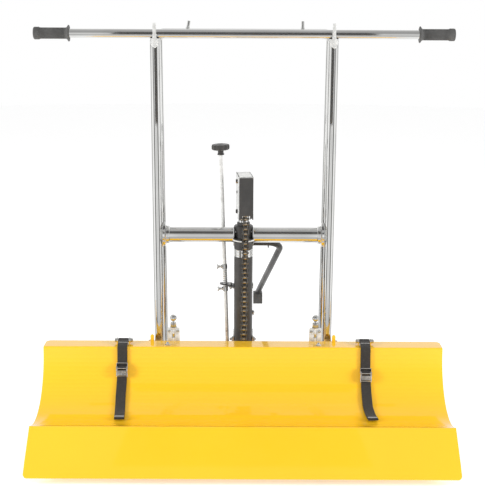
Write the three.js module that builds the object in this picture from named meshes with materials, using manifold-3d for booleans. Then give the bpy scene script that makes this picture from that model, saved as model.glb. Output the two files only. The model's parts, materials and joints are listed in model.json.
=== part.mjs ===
// Hydraulic roll-lifting trolley with a yellow loading tray.
// Millimetres, +Z up. The tray faces -Y, the operator stands at +Y, and +X is on the right seen from the tray.
// Heights are above the floor; depths are measured from the mast axes and recentred at the end.

import * as THREE from "three";
import { mergeVertices } from "three/addons/utils/BufferGeometryUtils.js";
import Module from "manifold-3d";

const wasm = await Module();
wasm.setup();

// ---- Driving dimensions ----

const gap = 0.3;                        // between touching pieces
const sides = [-1, 1];
const sideName = (side) => (side < 0 ? "left" : "right");
const degrees = Math.PI / 180;
const roundFacets = 16;                 // sides of a small round piece
const columnFacets = 24;                // sides of the wide round pieces

const mast = { x: 219.5, radius: 12.7, wall: 2, top: 1001 };
const bar = { z: 1013, radius: 11.1, wall: 1.8, halfLength: 513 };
const grip = { radius: 13.6, length: 87, bulge: 15, endBulge: 15.2, flange: 20, flangeThick: 4 };
const hoop = { topY: 72, footY: 148, bend: 17, topZ: 1014 };
const crossTube = { z: 509, radius: 20, wall: 2.5 };

const rail = { z: 60, radius: 15, front: -236, rear: 98 };
const frontWheel = { y: -275, radius: 35, width: 24, axle: 6 };
const caster = { y: 185, trail: 32, radius: 50, width: 30, axle: 6, plateTop: 131, plateThick: 6 };

const column = { y: 6, radius: 24, foot: 82, top: 451 };
const head = { x: 2.5, bottom: 563, top: 664, width: 34.5, depth: 86, wall: 2.5, yaw: 5.5 * degrees };
const chain = { pitch: 12.7, width: 18.5, plate: 11.8, teeth: 18 };
chain.pitchRadius = chain.pitch / 2 / Math.sin(Math.PI / chain.teeth);

const tray = {
  halfLength: 508, sheet: 3, flangeZ: 235, flangeRear: -38, wallY: -89.5,
  radius: 142.5, lipAngle: 115.5 * degrees, bend: 5, footY: -393, footZ: 20,
};
tray.axisY = tray.wallY - tray.radius;

const strap = { width: 25, thick: 2.4, clear: 4.6, pinY: -61, pinZ: 244, pin: 3 };
const straps = [
  { side: "left", x: -306.5, buckleTop: 15.1 * degrees, buckleFoot: 32.4 * degrees },
  { side: "right", x: 311.5, buckleTop: 19.5 * degrees, buckleFoot: 37.5 * degrees },
];

const release = { x: -57, y: 30, z: 710.6, lean: 1.9 * degrees, radius: 4.4 };
const pedal = { y: 62, z: 474, radius: 8, bend: 34 };

// ---- Materials ----

const material = (color, roughness, metalness) =>
  new THREE.MeshStandardMaterial({ color, roughness, metalness });
const chrome = material(0xd9d9d6, 0.12, 1);
const zinc = material(0xbcbdb8, 0.35, 1);
const yellow = material(0xfcc823, 0.35, 0);
const black = material(0x343332, 0.45, 0);
const rubber = material(0x3b3b3b, 0.85, 0);
const webbing = material(0x2e2c2b, 0.9, 0);
const tread = material(0x4a4a4c, 0.7, 0);

// ---- Shape helpers ----

const point = (x, y, z) => new THREE.Vector3(x, y, z);

function signedVolume(geometry) {
  const place = geometry.getAttribute("position");
  const corners = [point(), point(), point()];
  let volume = 0;
  for (let i = 0; i < geometry.index.count; i += 3) {
    corners.forEach((corner, k) => corner.fromBufferAttribute(place, geometry.index.getX(i + k)));
    volume += corners[0].dot(corners[1].clone().cross(corners[2])) / 6;
  }
  return volume;
}

// Shared corners, no flat triangles, faces outward.
function tidyMesh(geometry) {
  const bare = new THREE.BufferGeometry();
  bare.setAttribute("position", geometry.getAttribute("position").clone());
  bare.setIndex(geometry.index ? geometry.index.clone() : null);
  const merged = mergeVertices(bare, 1e-4);
  const kept = [];
  for (let i = 0; i < merged.index.count; i += 3) {
    const [a, b, c] = [0, 1, 2].map((k) => merged.index.getX(i + k));
    if (a !== b && b !== c && c !== a) kept.push(a, b, c);
  }
  merged.setIndex(kept);
  if (signedVolume(merged) < 0) {
    for (let i = 0; i < kept.length; i += 3) [kept[i + 1], kept[i + 2]] = [kept[i + 2], kept[i + 1]];
    merged.setIndex(kept);
  }
  return merged;
}

function toSolid(geometry) {
  const mesh = tidyMesh(geometry);
  return new wasm.Manifold(new wasm.Mesh({
    numProp: 3,
    vertProperties: new Float32Array(mesh.getAttribute("position").array),
    triVerts: new Uint32Array(mesh.index.array),
  }));
}

function toGeometry(solid) {
  const mesh = solid.getMesh();
  const geometry = new THREE.BufferGeometry();
  geometry.setAttribute("position", new THREE.BufferAttribute(mesh.vertProperties, 3));
  geometry.setIndex(new THREE.BufferAttribute(mesh.triVerts, 1));
  geometry.computeVertexNormals();
  return geometry;
}

function join(first, ...others) {
  return toGeometry(others.reduce((whole, next) => whole.add(toSolid(next)), toSolid(first)));
}

function cut(base, ...tools) {
  return toGeometry(tools.reduce((rest, tool) => rest.subtract(toSolid(tool)), toSolid(base)));
}

function block(xs, ys, zs) {
  const [x, y, z] = [xs, ys, zs].map((ends) => [Math.min(...ends), Math.max(...ends)]);
  const geometry = new THREE.BoxGeometry(x[1] - x[0], y[1] - y[0], z[1] - z[0]);
  return geometry.translate((x[0] + x[1]) / 2, (y[0] + y[1]) / 2, (z[0] + z[1]) / 2);
}

// Turns a shape made along +Z so that it runs along another direction, then moves it.
function aim(geometry, direction, origin) {
  const turn = new THREE.Quaternion().setFromUnitVectors(point(0, 0, 1), direction.clone().normalize());
  return geometry.applyQuaternion(turn).translate(origin.x, origin.y, origin.z);
}

// A body of revolution about +Z from [radius, height] pairs.
function turned(profile, facets = roundFacets) {
  const outline = profile.map(([r, z]) => new THREE.Vector2(r, z));
  return tidyMesh(new THREE.LatheGeometry(outline, facets).rotateX(Math.PI / 2));
}

function ring(outer, inner, height, facets = roundFacets) {
  return turned([[inner, 0], [outer, 0], [outer, height], [inner, height], [inner, 0]], facets);
}

function rod(from, to, radius, facets = roundFacets) {
  const span = to.clone().sub(from);
  return aim(turned([[0, 0], [radius, 0], [radius, span.length()], [0, span.length()]], facets), span, from);
}

function pipe(from, to, outer, inner, facets = roundFacets) {
  const span = to.clone().sub(from);
  return aim(ring(outer, inner, span.length(), facets), span, from);
}

const polygon = (points) => new THREE.Shape(points.map(([x, y]) => new THREE.Vector2(x, y)));

function disc(radius, facets, Kind = THREE.Shape) {
  const corners = Array.from({ length: facets }, (_, i) => {
    const angle = (2 * Math.PI * i) / facets;
    return new THREE.Vector2(radius * Math.cos(angle), radius * Math.sin(angle));
  });
  return new Kind(corners);
}

function extruded(shape, [low, high], axes) {
  const geometry = new THREE.ExtrudeGeometry(shape, { depth: high - low, bevelEnabled: false });
  return geometry.translate(0, 0, low).applyMatrix4(axes);
}

const unit = { x: point(1, 0, 0), y: point(0, 1, 0), z: point(0, 0, 1) };
const alongX = new THREE.Matrix4().makeBasis(unit.y, unit.z, unit.x);    // outline in Y, Z
const alongY = new THREE.Matrix4().makeBasis(unit.x, unit.z, unit.y.clone().negate()); // outline in X, Z
const alongZ = new THREE.Matrix4();                                      // outline in X, Y

const slabX = (points, xs) => extruded(polygon(points), [Math.min(...xs), Math.max(...xs)], alongX);
const slabY = (points, [y0, y1]) => extruded(polygon(points), [-y1, -y0], alongY);
const slabZ = (points, zs) => extruded(polygon(points), zs, alongZ);

// A path that a sweep visits point by point, so that straight runs need no extra sections.
class Route extends THREE.Curve {
  constructor(points) {
    super();
    this.points = points;
  }

  getUtoTmapping(u) {
    return u;
  }

  getPoint(t) {
    const place = t * (this.points.length - 1);
    const i = Math.min(Math.floor(place), this.points.length - 2);
    return this.points[i].clone().lerp(this.points[i + 1], place - i);
  }
}

// Replaces every inner corner of a route by an arc.
function rounded(points, radius, steps) {
  const route = [points[0]];
  for (let i = 1; i < points.length - 1; i += 1) {
    const back = points[i - 1].clone().sub(points[i]).normalize();
    const ahead = points[i + 1].clone().sub(points[i]).normalize();
    const half = back.angleTo(ahead) / 2;
    const centre = points[i].clone().addScaledVector(back.clone().add(ahead).normalize(), radius / Math.sin(half));
    const start = points[i].clone().addScaledVector(back, radius / Math.tan(half)).sub(centre);
    const axis = ahead.clone().cross(back).normalize();
    const sweep = Math.PI - 2 * half;
    for (let k = 0; k <= steps; k += 1) {
      route.push(start.clone().applyAxisAngle(axis, (sweep * k) / steps).add(centre));
    }
  }
  route.push(points[points.length - 1]);
  return route;
}

function swept(points, outer, inner = 0, facets = roundFacets) {
  const shape = disc(outer, facets);
  if (inner > 0) shape.holes.push(disc(inner, facets, THREE.Path));
  const settings = { steps: points.length - 1, extrudePath: new Route(points), bevelEnabled: false };
  return new THREE.ExtrudeGeometry(shape, settings);
}

function hexPrism(from, to, acrossFlats) {
  return rod(from, to, acrossFlats / Math.sqrt(3), 6);
}

const object = new THREE.Group();

function add(name, geometry, look, parent = object) {
  const mesh = new THREE.Mesh(geometry, look);
  mesh.name = name;
  parent.add(mesh);
  return mesh;
}

// ---- Masts, hoop, handlebar and cross tube ----

// Where the leaning leg of the hoop stands at a height.
function hoopLeg(z) {
  const lean = (hoop.footY - hoop.topY) / (hoop.topZ - caster.plateTop);
  return { y: hoop.topY + (hoop.topZ - z) * lean, z };
}

function addMast(side) {
  const x = side * mast.x;
  const tube = pipe(point(x, 0, rail.z + rail.radius + gap), point(x, 0, mast.top), mast.radius, mast.radius - mast.wall);
  const pegFront = -mast.radius - 4.5;
  const peg = block([x - 4, x + 4], [pegFront, -mast.radius + 1], [985, 1039]);
  const pegFoot = slabY([[x - 4, 1003], [x - 7.5, 985], [x - 5, 968], [x + 5, 968], [x + 7.5, 985], [x + 4, 1003]],
    [pegFront, -mast.radius + 3]);
  const clearance = rod(point(x - 20, 0, bar.z), point(x + 20, 0, bar.z), bar.radius + gap);
  const tie = hoopLeg(925);
  const strut = rod(point(x, mast.radius - 1, tie.z), point(x, tie.y - mast.radius - 4 * gap, tie.z), 8);
  add(`mast_${sideName(side)}`, cut(join(tube, peg, pegFoot, strut), clearance), chrome);
}

function addHoop() {
  const plateTop = caster.plateTop + gap;
  const corners = [
    point(-mast.x, hoop.footY, plateTop), point(-mast.x, hoop.topY, hoop.topZ),
    point(mast.x, hoop.topY, hoop.topZ), point(mast.x, hoop.footY, plateTop),
  ];
  const tube = swept(rounded(corners, hoop.bend, 5), mast.radius, mast.radius - mast.wall, 12);
  const level = block([-400, 400], [hoop.footY - 60, hoop.footY + 60], [plateTop - 30, plateTop]);
  const pegs = [[-143, -139], [147, 147]].map(([foot, top]) =>
    rod(point(foot, hoop.topY, hoop.topZ + 8), point(top, hoop.topY, 1043), 4, 12));
  const open = cut(join(tube, ...pegs), level);
  add("rear_hoop", open, chrome);
}

function addHandlebar() {
  add("handlebar", pipe(point(-bar.halfLength, 0, bar.z), point(bar.halfLength, 0, bar.z),
    bar.radius, bar.radius - bar.wall), chrome);
}

function addGrip(side) {
  const bore = bar.radius + gap;
  const end = grip.length - 3;
  const profile = [
    [bore, 0], [grip.flange, 0], [grip.radius + 2, grip.flangeThick], [grip.radius, grip.flangeThick + 2],
    [grip.radius, grip.length - grip.bulge], [grip.endBulge, grip.length - grip.bulge + 2],
    [grip.endBulge, grip.length - 2], [grip.endBulge - 2, grip.length], [0, grip.length],
    [0, end], [bore, end], [bore, 0],
  ];
  const inner = point(side * (bar.halfLength + gap - end), 0, bar.z);
  add(`grip_${sideName(side)}`, aim(turned(profile), point(side, 0, 0), inner), rubber);
}

function addCrossTube() {
  const saddle = { outer: 34.5, thick: 4, slot: 15.5 };
  const z = crossTube.z - 13;
  const pieces = [];
  for (const side of sides) {
    const inner = side * 28;
    const end = side * (mast.x - mast.radius - gap);
    pieces.push(pipe(point(inner, 0, crossTube.z), point(end, 0, crossTube.z), crossTube.radius,
      crossTube.radius - crossTube.wall));
    pieces.push(pipe(point(end - side * 18, 0, crossTube.z), point(end - side * 8, 0, crossTube.z),
      crossTube.radius + 3, crossTube.radius - 1));
    const plate = Array.from({ length: 16 }, (_, i) => {
      const angle = (2 * Math.PI * i) / 16;
      return [17 * Math.cos(angle), crossTube.z + 31 * Math.sin(angle)];
    });
    pieces.push(slabX(plate, [end - side * 7, end]));
  }
  const saddleRing = ring(saddle.outer, column.radius + 1, saddle.thick, columnFacets).translate(0, column.y, z);
  const collarRing = ring(column.radius + 3, column.radius + 1, 14, columnFacets).translate(0, column.y, z);
  const bore = rod(point(0, column.y, 400), point(0, column.y, 600), column.radius + 0.9, columnFacets);
  const chainSlots = [[-60, -20], [33, 60]].map((ys) => block([-saddle.slot, saddle.slot], ys, [z - 2, z + 20]));
  add("cross_tube", cut(join(saddleRing, collarRing, ...pieces), bore, ...chainSlots), chrome);
}

// ---- Base, wheels and casters ----

function addSideRail(side) {
  const x = side * mast.x;
  const name = sideName(side);
  const tube = pipe(point(x, rail.front, rail.z), point(x, rail.rear, rail.z), rail.radius, rail.radius - 2.5);
  const cheek = [[rail.front + 30, 50], [rail.front + 30, 70], [frontWheel.y, 50], [frontWheel.y - 14, 35],
    [frontWheel.y, 21], [frontWheel.y + 14, 30]];
  const half = frontWheel.width / 2 + 1;
  const cheeks = sides.map((end) => slabX(cheek, [x + end * half, x + end * (half + 4)]));
  const axle = rod(point(x - half - 7, frontWheel.y, frontWheel.radius),
    point(x + half + 7, frontWheel.y, frontWheel.radius), frontWheel.axle);
  const plug = block([x - half - 1, x + half + 1], [rail.front, rail.front + 20], [52, 68]);
  const plateZ = [caster.plateTop - caster.plateThick, caster.plateTop];
  const plate = block([x - 32, x + 32], [60, caster.y + 40], plateZ);
  const rib = block([x - 4, x + 4], [60, rail.rear], [rail.z + 12, plateZ[0] + 1]);
  const endCap = rod(point(x, rail.rear - 4, rail.z), point(x, rail.rear, rail.z), rail.radius - 1);
  add(`side_rail_${name}`, join(tube, plug, ...cheeks, axle, plate, rib, endCap), chrome);
  const wheel = turned(wheelProfile(frontWheel), columnFacets);
  add(`front_wheel_${name}`, aim(wheel, unit.x, point(x - frontWheel.width / 2, frontWheel.y, frontWheel.radius)), tread);
}

function wheelProfile({ radius, width, axle }) {
  const bore = axle + 0.1;
  const hub = radius * 0.42;
  const rim = radius * 0.74;
  return [[bore, 0], [hub, 0], [rim, 3], [radius - 3, 0], [radius, 4], [radius, width - 4],
    [radius - 3, width], [rim, width - 3], [hub, width], [bore, width], [bore, 0]];
}

function addBaseCrossbar() {
  const end = mast.x - rail.radius - gap;
  const tube = pipe(point(-end, column.y, rail.z), point(end, column.y, rail.z), rail.radius, rail.radius - 2.5);
  const foot = block([-48, 48], [column.y - 36, column.y + 52], [rail.z + 12, column.foot - gap]);
  const cap = rod(point(-50, column.y, rail.z), point(50, column.y, rail.z), rail.radius - 1);
  add("base_crossbar", join(tube, foot, cap), chrome);
}

function addCaster(side) {
  const x = side * mast.x;
  const name = sideName(side);
  const top = caster.plateTop - caster.plateThick - gap;
  const axleY = caster.y + caster.trail;
  const half = caster.width / 2 + 1;
  const swivel = rod(point(x, caster.y, top - 11), point(x, caster.y, top), 24);
  const crown = block([x - half - 3.5, x + half + 3.5], [caster.y - 18, axleY + 10], [caster.radius * 2 + 4, top - 10]);
  const leg = [[axleY - 14, caster.radius], [axleY, caster.radius - 12], [axleY + 12, caster.radius],
    [axleY + 10, top - 11], [caster.y - 10, top - 11]];
  const legs = sides.map((end) => slabX(leg, [x + end * half, x + end * (half + 3.5)]));
  const axle = rod(point(x - half - 8, axleY, caster.radius), point(x + half + 8, axleY, caster.radius), caster.axle);
  add(`caster_fork_${name}`, join(crown, swivel, ...legs, axle), zinc);
  const wheel = turned(wheelProfile(caster), columnFacets);
  add(`caster_wheel_${name}`, aim(wheel, unit.x, point(x - caster.width / 2, axleY, caster.radius)), tread);
}

// ---- Hydraulic column ----

const ram = { radius: 14, bore: 14.6, neck: 16 };

function columnRing(name, outer, inner, z0, z1, look) {
  add(name, ring(outer, inner, z1 - z0, columnFacets).translate(0, column.y, z0), look);
}

function addColumn() {
  const floorThick = 10;
  const inner = 18;
  const barrel = turned([
    [0, 0], [column.radius, 0], [column.radius, column.top - gap - column.foot],
    [inner, column.top - gap - column.foot], [inner, floorThick], [0, floorThick],
  ], columnFacets).translate(0, column.y, column.foot);
  add("cylinder_barrel", barrel, black);
  columnRing("gland_band", column.radius + 0.4, ram.bore, column.top, 471, chrome);
  columnRing("lower_collar", column.radius, ram.bore, 471 + gap, 495, black);
  const collar = turned([
    [ram.bore, 0], [28.5, 0], [28.5, 3], [24.6, 7], [24.6, 36], [20, 41], [20, 46], [ram.bore, 46], [ram.bore, 0],
  ], columnFacets).translate(0, column.y, 495 + gap);
  const seat = ring(40, column.radius + 0.6, 15, columnFacets).translate(0, column.y, 495);
  add("upper_collar", cut(collar, seat), black);
}

function addBarrelBolt() {
  const z = 226;
  const bolt = (side) => hexPrism(point(side * (column.radius + gap), column.y, z), point(side * 30, column.y, z), 13);
  const ears = sides.map((side) => block([side * (column.radius + gap), side * 26.5],
    [column.y - 9, column.y + 40], [z - 10, z + 10]));
  const behind = block([-26.5, 26.5], [column.y + 52, column.y + 55], [z - 10, z + 10]);
  const arms = sides.map((side) => block([side * 24, side * 26.5], [column.y + 30, column.y + 55], [z - 10, z + 10]));
  const tip = rod(point(-35, column.y, z), point(-26, column.y, z), 4, 12);
  add("barrel_clamp", join(ears[0], ears[1], ...arms, behind, bolt(-1), bolt(1), tip), zinc);
}

function addRam() {
  const bottom = 100;
  const shaft = turned([
    [0, 0], [17, 0], [17, 24], [ram.radius, 26], [ram.radius, 447], [ram.neck, 449],
    [ram.neck, head.bottom - gap - bottom], [0, head.bottom - gap - bottom],
  ], columnFacets).translate(0, column.y, bottom);
  add("ram_rod", shaft, chrome);
}

const headGroup = new THREE.Group();
headGroup.position.set(head.x, column.y, 0);
headGroup.rotation.z = head.yaw;
object.add(headGroup);
const sprocketZ = 617;

function addHead() {
  const [w, d] = [head.width / 2, head.depth / 2];
  const shell = block([-w, w], [-d, d], [head.bottom, head.top]);
  const hollow = block([-w + head.wall, w - head.wall], [-d + head.wall, d - head.wall],
    [head.bottom + 6, head.top - head.wall]);
  const slot = { inner: chain.pitchRadius - 9, half: chain.width / 2 + 2 };
  const slots = sides.map((end) => block([-slot.half, slot.half], [end * slot.inner, end * (d - head.wall)],
    [head.bottom - 1, head.bottom + 7]));
  const axle = rod(point(-w - 4, 0, sprocketZ), point(w + 4, 0, sprocketZ), 8);
  add("head_case", join(cut(shell, hollow, ...slots), axle), black, headGroup);
}

function addSprocket() {
  const tip = chain.pitchRadius + 3.5;
  const root = chain.pitchRadius - 4;
  const outline = [];
  for (let i = 0; i < chain.teeth; i += 1) {
    for (const [turn, r] of [[0, root], [0.3, root], [0.42, tip], [0.58, tip], [0.7, root]]) {
      const angle = (2 * Math.PI * (i + turn)) / chain.teeth;
      if (turn > 0) outline.push([r * Math.cos(angle), sprocketZ + r * Math.sin(angle)]);
    }
  }
  const plate = slabX(outline, [-3.5, 3.5]);
  const hub = rod(point(-12, 0, sprocketZ), point(12, 0, sprocketZ), 17);
  const bore = rod(point(-14, 0, sprocketZ), point(14, 0, sprocketZ), 8.15);
  add("sprocket", cut(join(plate, hub), bore), zinc, headGroup);
}

const chainY = column.y - chain.pitchRadius * Math.cos(head.yaw);
const chainTopX = head.x + chain.pitchRadius * Math.sin(head.yaw);
const chainRearX = head.x - chain.pitchRadius * Math.sin(head.yaw);
const anchor = { x: 1, z: 182 };
const guard = { foot: 95, top: 432, inner: 17, outer: 20, front: 31, back: 54 };

function chainStrand(x0, x1, y, z0, z1) {
  const half = chain.width / 2;
  const deep = chain.plate / 2;
  return slabY([[x0 - half, z0], [x0 + half, z0], [x1 + half, z1], [x1 - half, z1]], [y - deep, y + deep]);
}

function addChain() {
  const top = head.bottom - gap;
  add("chain_front", chainStrand(anchor.x, chainTopX, chainY, anchor.z + gap, top), zinc);
  add("chain_rear", chainStrand(chainRearX, chainRearX, 2 * column.y - chainY, guard.foot + 5, top), zinc);
}

function addChainGuard() {
  const outer = block([-guard.outer, guard.outer], [guard.front, guard.back], [guard.foot, guard.top]);
  const inner = block([-guard.inner, guard.inner], [guard.front - 1, guard.back - 3], [guard.foot - 1, guard.top + 1]);
  add("chain_guard", cut(outer, inner), black);
}

// ---- Foot pump ----

const pump = { front: guard.back + 2 * gap + 3, back: 102, foot: 330, top: 396, plungerY: 86, plunger: 7 };

function addPump() {
  const body = block([-22, 22], [pump.front, pump.back], [pump.foot, pump.top]);
  const bore = rod(point(0, pump.plungerY, pump.foot + 12), point(0, pump.plungerY, pump.top + 1), pump.plunger + 0.1);
  add("pump_block", cut(body, bore), black);
  const stem = rod(point(0, pump.plungerY, pump.foot + 30), point(0, pump.plungerY, 452), pump.plunger);
  const cap = rod(point(0, pump.plungerY, 452), point(0, pump.plungerY, 458), 10);
  add("pump_plunger", join(stem, cap), chrome);
}

function addPedalBracket() {
  const cheek = [[44, 402], [44, 430], [50, 486], [74, 486], [74, 462], [58, 436], [57.3, 402]];
  const cheeks = sides.map((side) => slabX(cheek, [side * (guard.outer + gap), side * 24]));
  const bridge = block([-24, 24], [guard.back + gap, guard.back + gap + 3], [402, 430]);
  const bore = rod(point(-30, pedal.y, pedal.z), point(30, pedal.y, pedal.z), pedal.radius + gap);
  add("pedal_bracket", cut(join(...cheeks, bridge), bore), black);
}

function addPedal() {
  const elbow = point(103, pedal.y, pedal.z);
  const padTop = point(43, 335, 262);
  const tube = swept(rounded([point(-24, pedal.y, pedal.z), elbow, padTop], pedal.bend, 7), pedal.radius, 0, 16);
  const finger = slabX([[pedal.y, pedal.z - 5], [pedal.y + 34, pedal.z - 14.5], [pedal.y + 34, pedal.z - 7],
    [pedal.y, pedal.z + 6]], [-6, 6]);
  const tab = slabX([[pedal.y - 3, pedal.z], [pedal.y + 3, pedal.z], [pedal.y + 2, pedal.z - 14],
    [pedal.y - 2, pedal.z - 14]], [64, 67]);
  const core = block([34, 52], [337, 362], [236, 253]);
  const neck = rod(padTop, point(43, 349, 246), pedal.radius, 16);
  add("pedal", join(tube, finger, tab, neck, core), black);
}

function addPedalPad() {
  const shell = block([30, 56], [332, 366], [226, 257]);
  const ribs = Array.from({ length: 5 }, (_, i) =>
    block([29, 57], [331.5, 366.5], [228 + 6 * i, 231 + 6 * i]));
  const pocket = block([34 - gap, 52 + gap], [337 - gap, 362 + gap], [236 - gap, 260]);
  const entry = rod(point(43, 320, 272), point(43, 352, 243), pedal.radius + 0.6, 16);
  add("pedal_pad", cut(join(shell, ...ribs), pocket, entry), rubber);
}

// ---- Release rod, on its own leaning axis ----

const rodGroup = new THREE.Group();
rodGroup.position.set(release.x, release.y, release.z);
rodGroup.rotation.y = -release.lean;
object.add(rodGroup);

const rodBracket = { z: 368.5, thick: 2.5 };
const collars = { upper: -293.6, lower: -353.6 };
const collar = { radius: 6.8, half: 6.6 };
const spring = { radius: 5.4, wire: 0.6, turns: 7.5 };

function addReleaseRod() {
  add("release_rod", rod(point(0, 0, -605), point(0, 0, 20), release.radius), zinc, rodGroup);
  const flutes = 12;
  const outline = Array.from({ length: flutes * 4 }, (_, i) => {
    const r = i % 4 === 0 ? 21.4 : 23.5;
    const angle = (2 * Math.PI * i) / (flutes * 4);
    return [r * Math.cos(angle), r * Math.sin(angle)];
  });
  const wheel = slabZ(outline, [13, 27]);
  const hub = rod(point(0, 0, 0), point(0, 0, 14), 8);
  const bore = rod(point(0, 0, -1), point(0, 0, 20 + gap), release.radius + gap);
  add("release_knob", cut(join(wheel, hub), bore), black, rodGroup);
}

function addThumbCollar(name, z) {
  const body = ring(collar.radius, release.radius + 0.1, 2 * collar.half).translate(0, 0, z - collar.half);
  const hole = rod(point(0, 0, z), point(-10, 0, z), 2.15, 12);
  add(`thumb_collar_${name}`, cut(body, hole), zinc, rodGroup);
  const shank = rod(point(-release.radius - 0.5, 0, z), point(-16, 0, z), 2, 12);
  const shoulder = rod(point(-8, 0, z), point(-10.5, 0, z), 3.6, 12);
  const wing = slabY([[-14, z - 2], [-20.5, z - 5.5], [-20.5, z - 2.5], [-18.5, z], [-20.5, z + 2.5],
    [-20.5, z + 5.5], [-14, z + 2]], [-1.5, 1.5]);
  add(`thumb_screw_${name}`, join(shank, shoulder, wing), zinc, rodGroup);
}

function addReleaseSpring() {
  const foot = (rodBracket.z + rodBracket.thick + 1 - release.z) / Math.cos(release.lean);
  const height = collars.upper - collar.half - 1 - foot;
  const steps = Math.round(spring.turns * 8);
  const coil = Array.from({ length: steps + 1 }, (_, i) => {
    const angle = (2 * Math.PI * spring.turns * i) / steps;
    return point(spring.radius * Math.cos(angle), spring.radius * Math.sin(angle), foot + (height * i) / steps);
  });
  add("release_spring", swept(coil, spring.wire, 0, 5), zinc, rodGroup);
}

function addRodBracket() {
  const { z, thick } = rodBracket;
  const plate = slabZ([[-18, -2], [-18, 24], [-34, 40], [-58, 44], [-60, 26], [-40, 8]], [z, z + thick]);
  const barrel = rod(point(0, column.y, z - 5), point(0, column.y, z + 9), column.radius + gap, columnFacets);
  const rodX = release.x + (release.z - z) * Math.tan(release.lean);
  const slot = rod(point(rodX, release.y, z - 5), point(rodX, release.y, z + 9), release.radius + 0.8);
  const bolt = rod(point(-33, 18, z - 10), point(-33, 18, z + 9), 2.5, 12);
  const nuts = [[z - 6, z], [z + thick, z + thick + 5]].map(([a, b]) => hexPrism(point(-33, 18, a), point(-33, 18, b), 8));
  add("rod_bracket", join(cut(plate, barrel, slot), bolt, ...nuts), black);
}

// ---- Tray ----

const trayPoint = (radius, angle) =>
  [tray.axisY + radius * Math.cos(angle), tray.flangeZ - radius * Math.sin(angle)];

function trayOutline() {
  const steps = 14;
  const bendSteps = 4;
  const wallTop = 3 * degrees;
  const bendCentre = [tray.wallY + tray.bend, tray.flangeZ - tray.bend];
  const face = (flangeZ, bendRadius, radius) => {
    const points = [[tray.flangeRear, flangeZ]];
    for (let i = 0; i <= bendSteps; i += 1) {
      const angle = (90 + (90 * i) / bendSteps) * degrees;
      points.push([bendCentre[0] + bendRadius * Math.cos(angle), bendCentre[1] + bendRadius * Math.sin(angle)]);
    }
    for (let i = 0; i < steps; i += 1) {
      points.push(trayPoint(radius, wallTop + ((tray.lipAngle - wallTop) * i) / steps));
    }
    return points;
  };
  const lip = new THREE.Vector2(...trayPoint(tray.radius, tray.lipAngle));
  const foot = new THREE.Vector2(tray.footY, tray.footZ);
  const slope = foot.clone().sub(lip).normalize();
  const rampNormal = new THREE.Vector2(slope.y, -slope.x);
  const troughNormal = new THREE.Vector2(Math.cos(tray.lipAngle), -Math.sin(tray.lipAngle)).negate();
  const mitre = troughNormal.clone().add(rampNormal).multiplyScalar(-tray.sheet / (1 + troughNormal.dot(rampNormal)));
  const lipUnder = lip.clone().add(mitre);
  const footUnder = foot.clone().addScaledVector(rampNormal, -tray.sheet);
  const top = face(tray.flangeZ, tray.bend, tray.radius);
  const under = face(tray.flangeZ - tray.sheet, tray.bend - tray.sheet, tray.radius + tray.sheet);
  return [...top, lip.toArray(), foot.toArray(), footUnder.toArray(), lipUnder.toArray(), ...under.reverse()];
}

function roundedPlan() {
  const plan = new THREE.Shape();
  const [x, front, rear] = [tray.halfLength, tray.footY - 4, tray.flangeRear];
  const [frontCorner, rearCorner] = [9, 12];
  plan.moveTo(-x + frontCorner, front);
  plan.lineTo(x - frontCorner, front);
  plan.absarc(x - frontCorner, front + frontCorner, frontCorner, -Math.PI / 2, 0, false);
  plan.lineTo(x, rear - rearCorner);
  plan.absarc(x - rearCorner, rear - rearCorner, rearCorner, 0, Math.PI / 2, false);
  plan.lineTo(-x + rearCorner, rear);
  plan.absarc(-x + rearCorner, rear - rearCorner, rearCorner, Math.PI / 2, Math.PI, false);
  plan.lineTo(-x, front + frontCorner);
  plan.absarc(-x + frontCorner, front + frontCorner, frontCorner, Math.PI, Math.PI * 1.5, false);
  const geometry = new THREE.ExtrudeGeometry(plan, { depth: 400, bevelEnabled: false, curveSegments: 5 });
  return geometry.translate(0, 0, -50);
}

const lug = { inner: 14.3, outer: 17.3, radius: 8 };

function strapLug(x) {
  const outline = [[strap.pinY - 12, tray.flangeZ - 1]];
  for (let i = 0; i <= 8; i += 1) {
    const angle = Math.PI - (Math.PI * i) / 8;
    outline.push([strap.pinY + lug.radius * Math.cos(angle), strap.pinZ + lug.radius * Math.sin(angle)]);
  }
  outline.push([strap.pinY + 12, tray.flangeZ - 1]);
  return slabX(outline.reverse(), x);
}

function addTray() {
  const length = [-tray.halfLength, tray.halfLength];
  const sheet = toSolid(slabX(trayOutline(), length)).intersect(toSolid(roundedPlan()));
  const lugs = straps.flatMap(({ x }) => sides.map((end) => strapLug([x + end * lug.inner, x + end * lug.outer])));
  const holes = straps.map(({ x }) => rod(point(x - 20, strap.pinY, strap.pinZ), point(x + 20, strap.pinY, strap.pinZ),
    strap.pin + gap, 16));
  add("tray", cut(join(toGeometry(sheet), ...lugs), ...holes), yellow);
}

// ---- Straps and cam buckles ----

const strapRadius = tray.radius - strap.clear;

function ribbon(points, thick, xs) {
  const offset = (i, amount) => {
    const before = points[Math.max(i - 1, 0)];
    const after = points[Math.min(i + 1, points.length - 1)];
    const along = new THREE.Vector2(after[0] - before[0], after[1] - before[1]).normalize();
    return [points[i][0] - along.y * amount, points[i][1] + along.x * amount];
  };
  const left = points.map((_, i) => offset(i, thick / 2));
  const right = points.map((_, i) => offset(i, -thick / 2)).reverse();
  return slabX([...left, ...right], xs);
}

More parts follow.
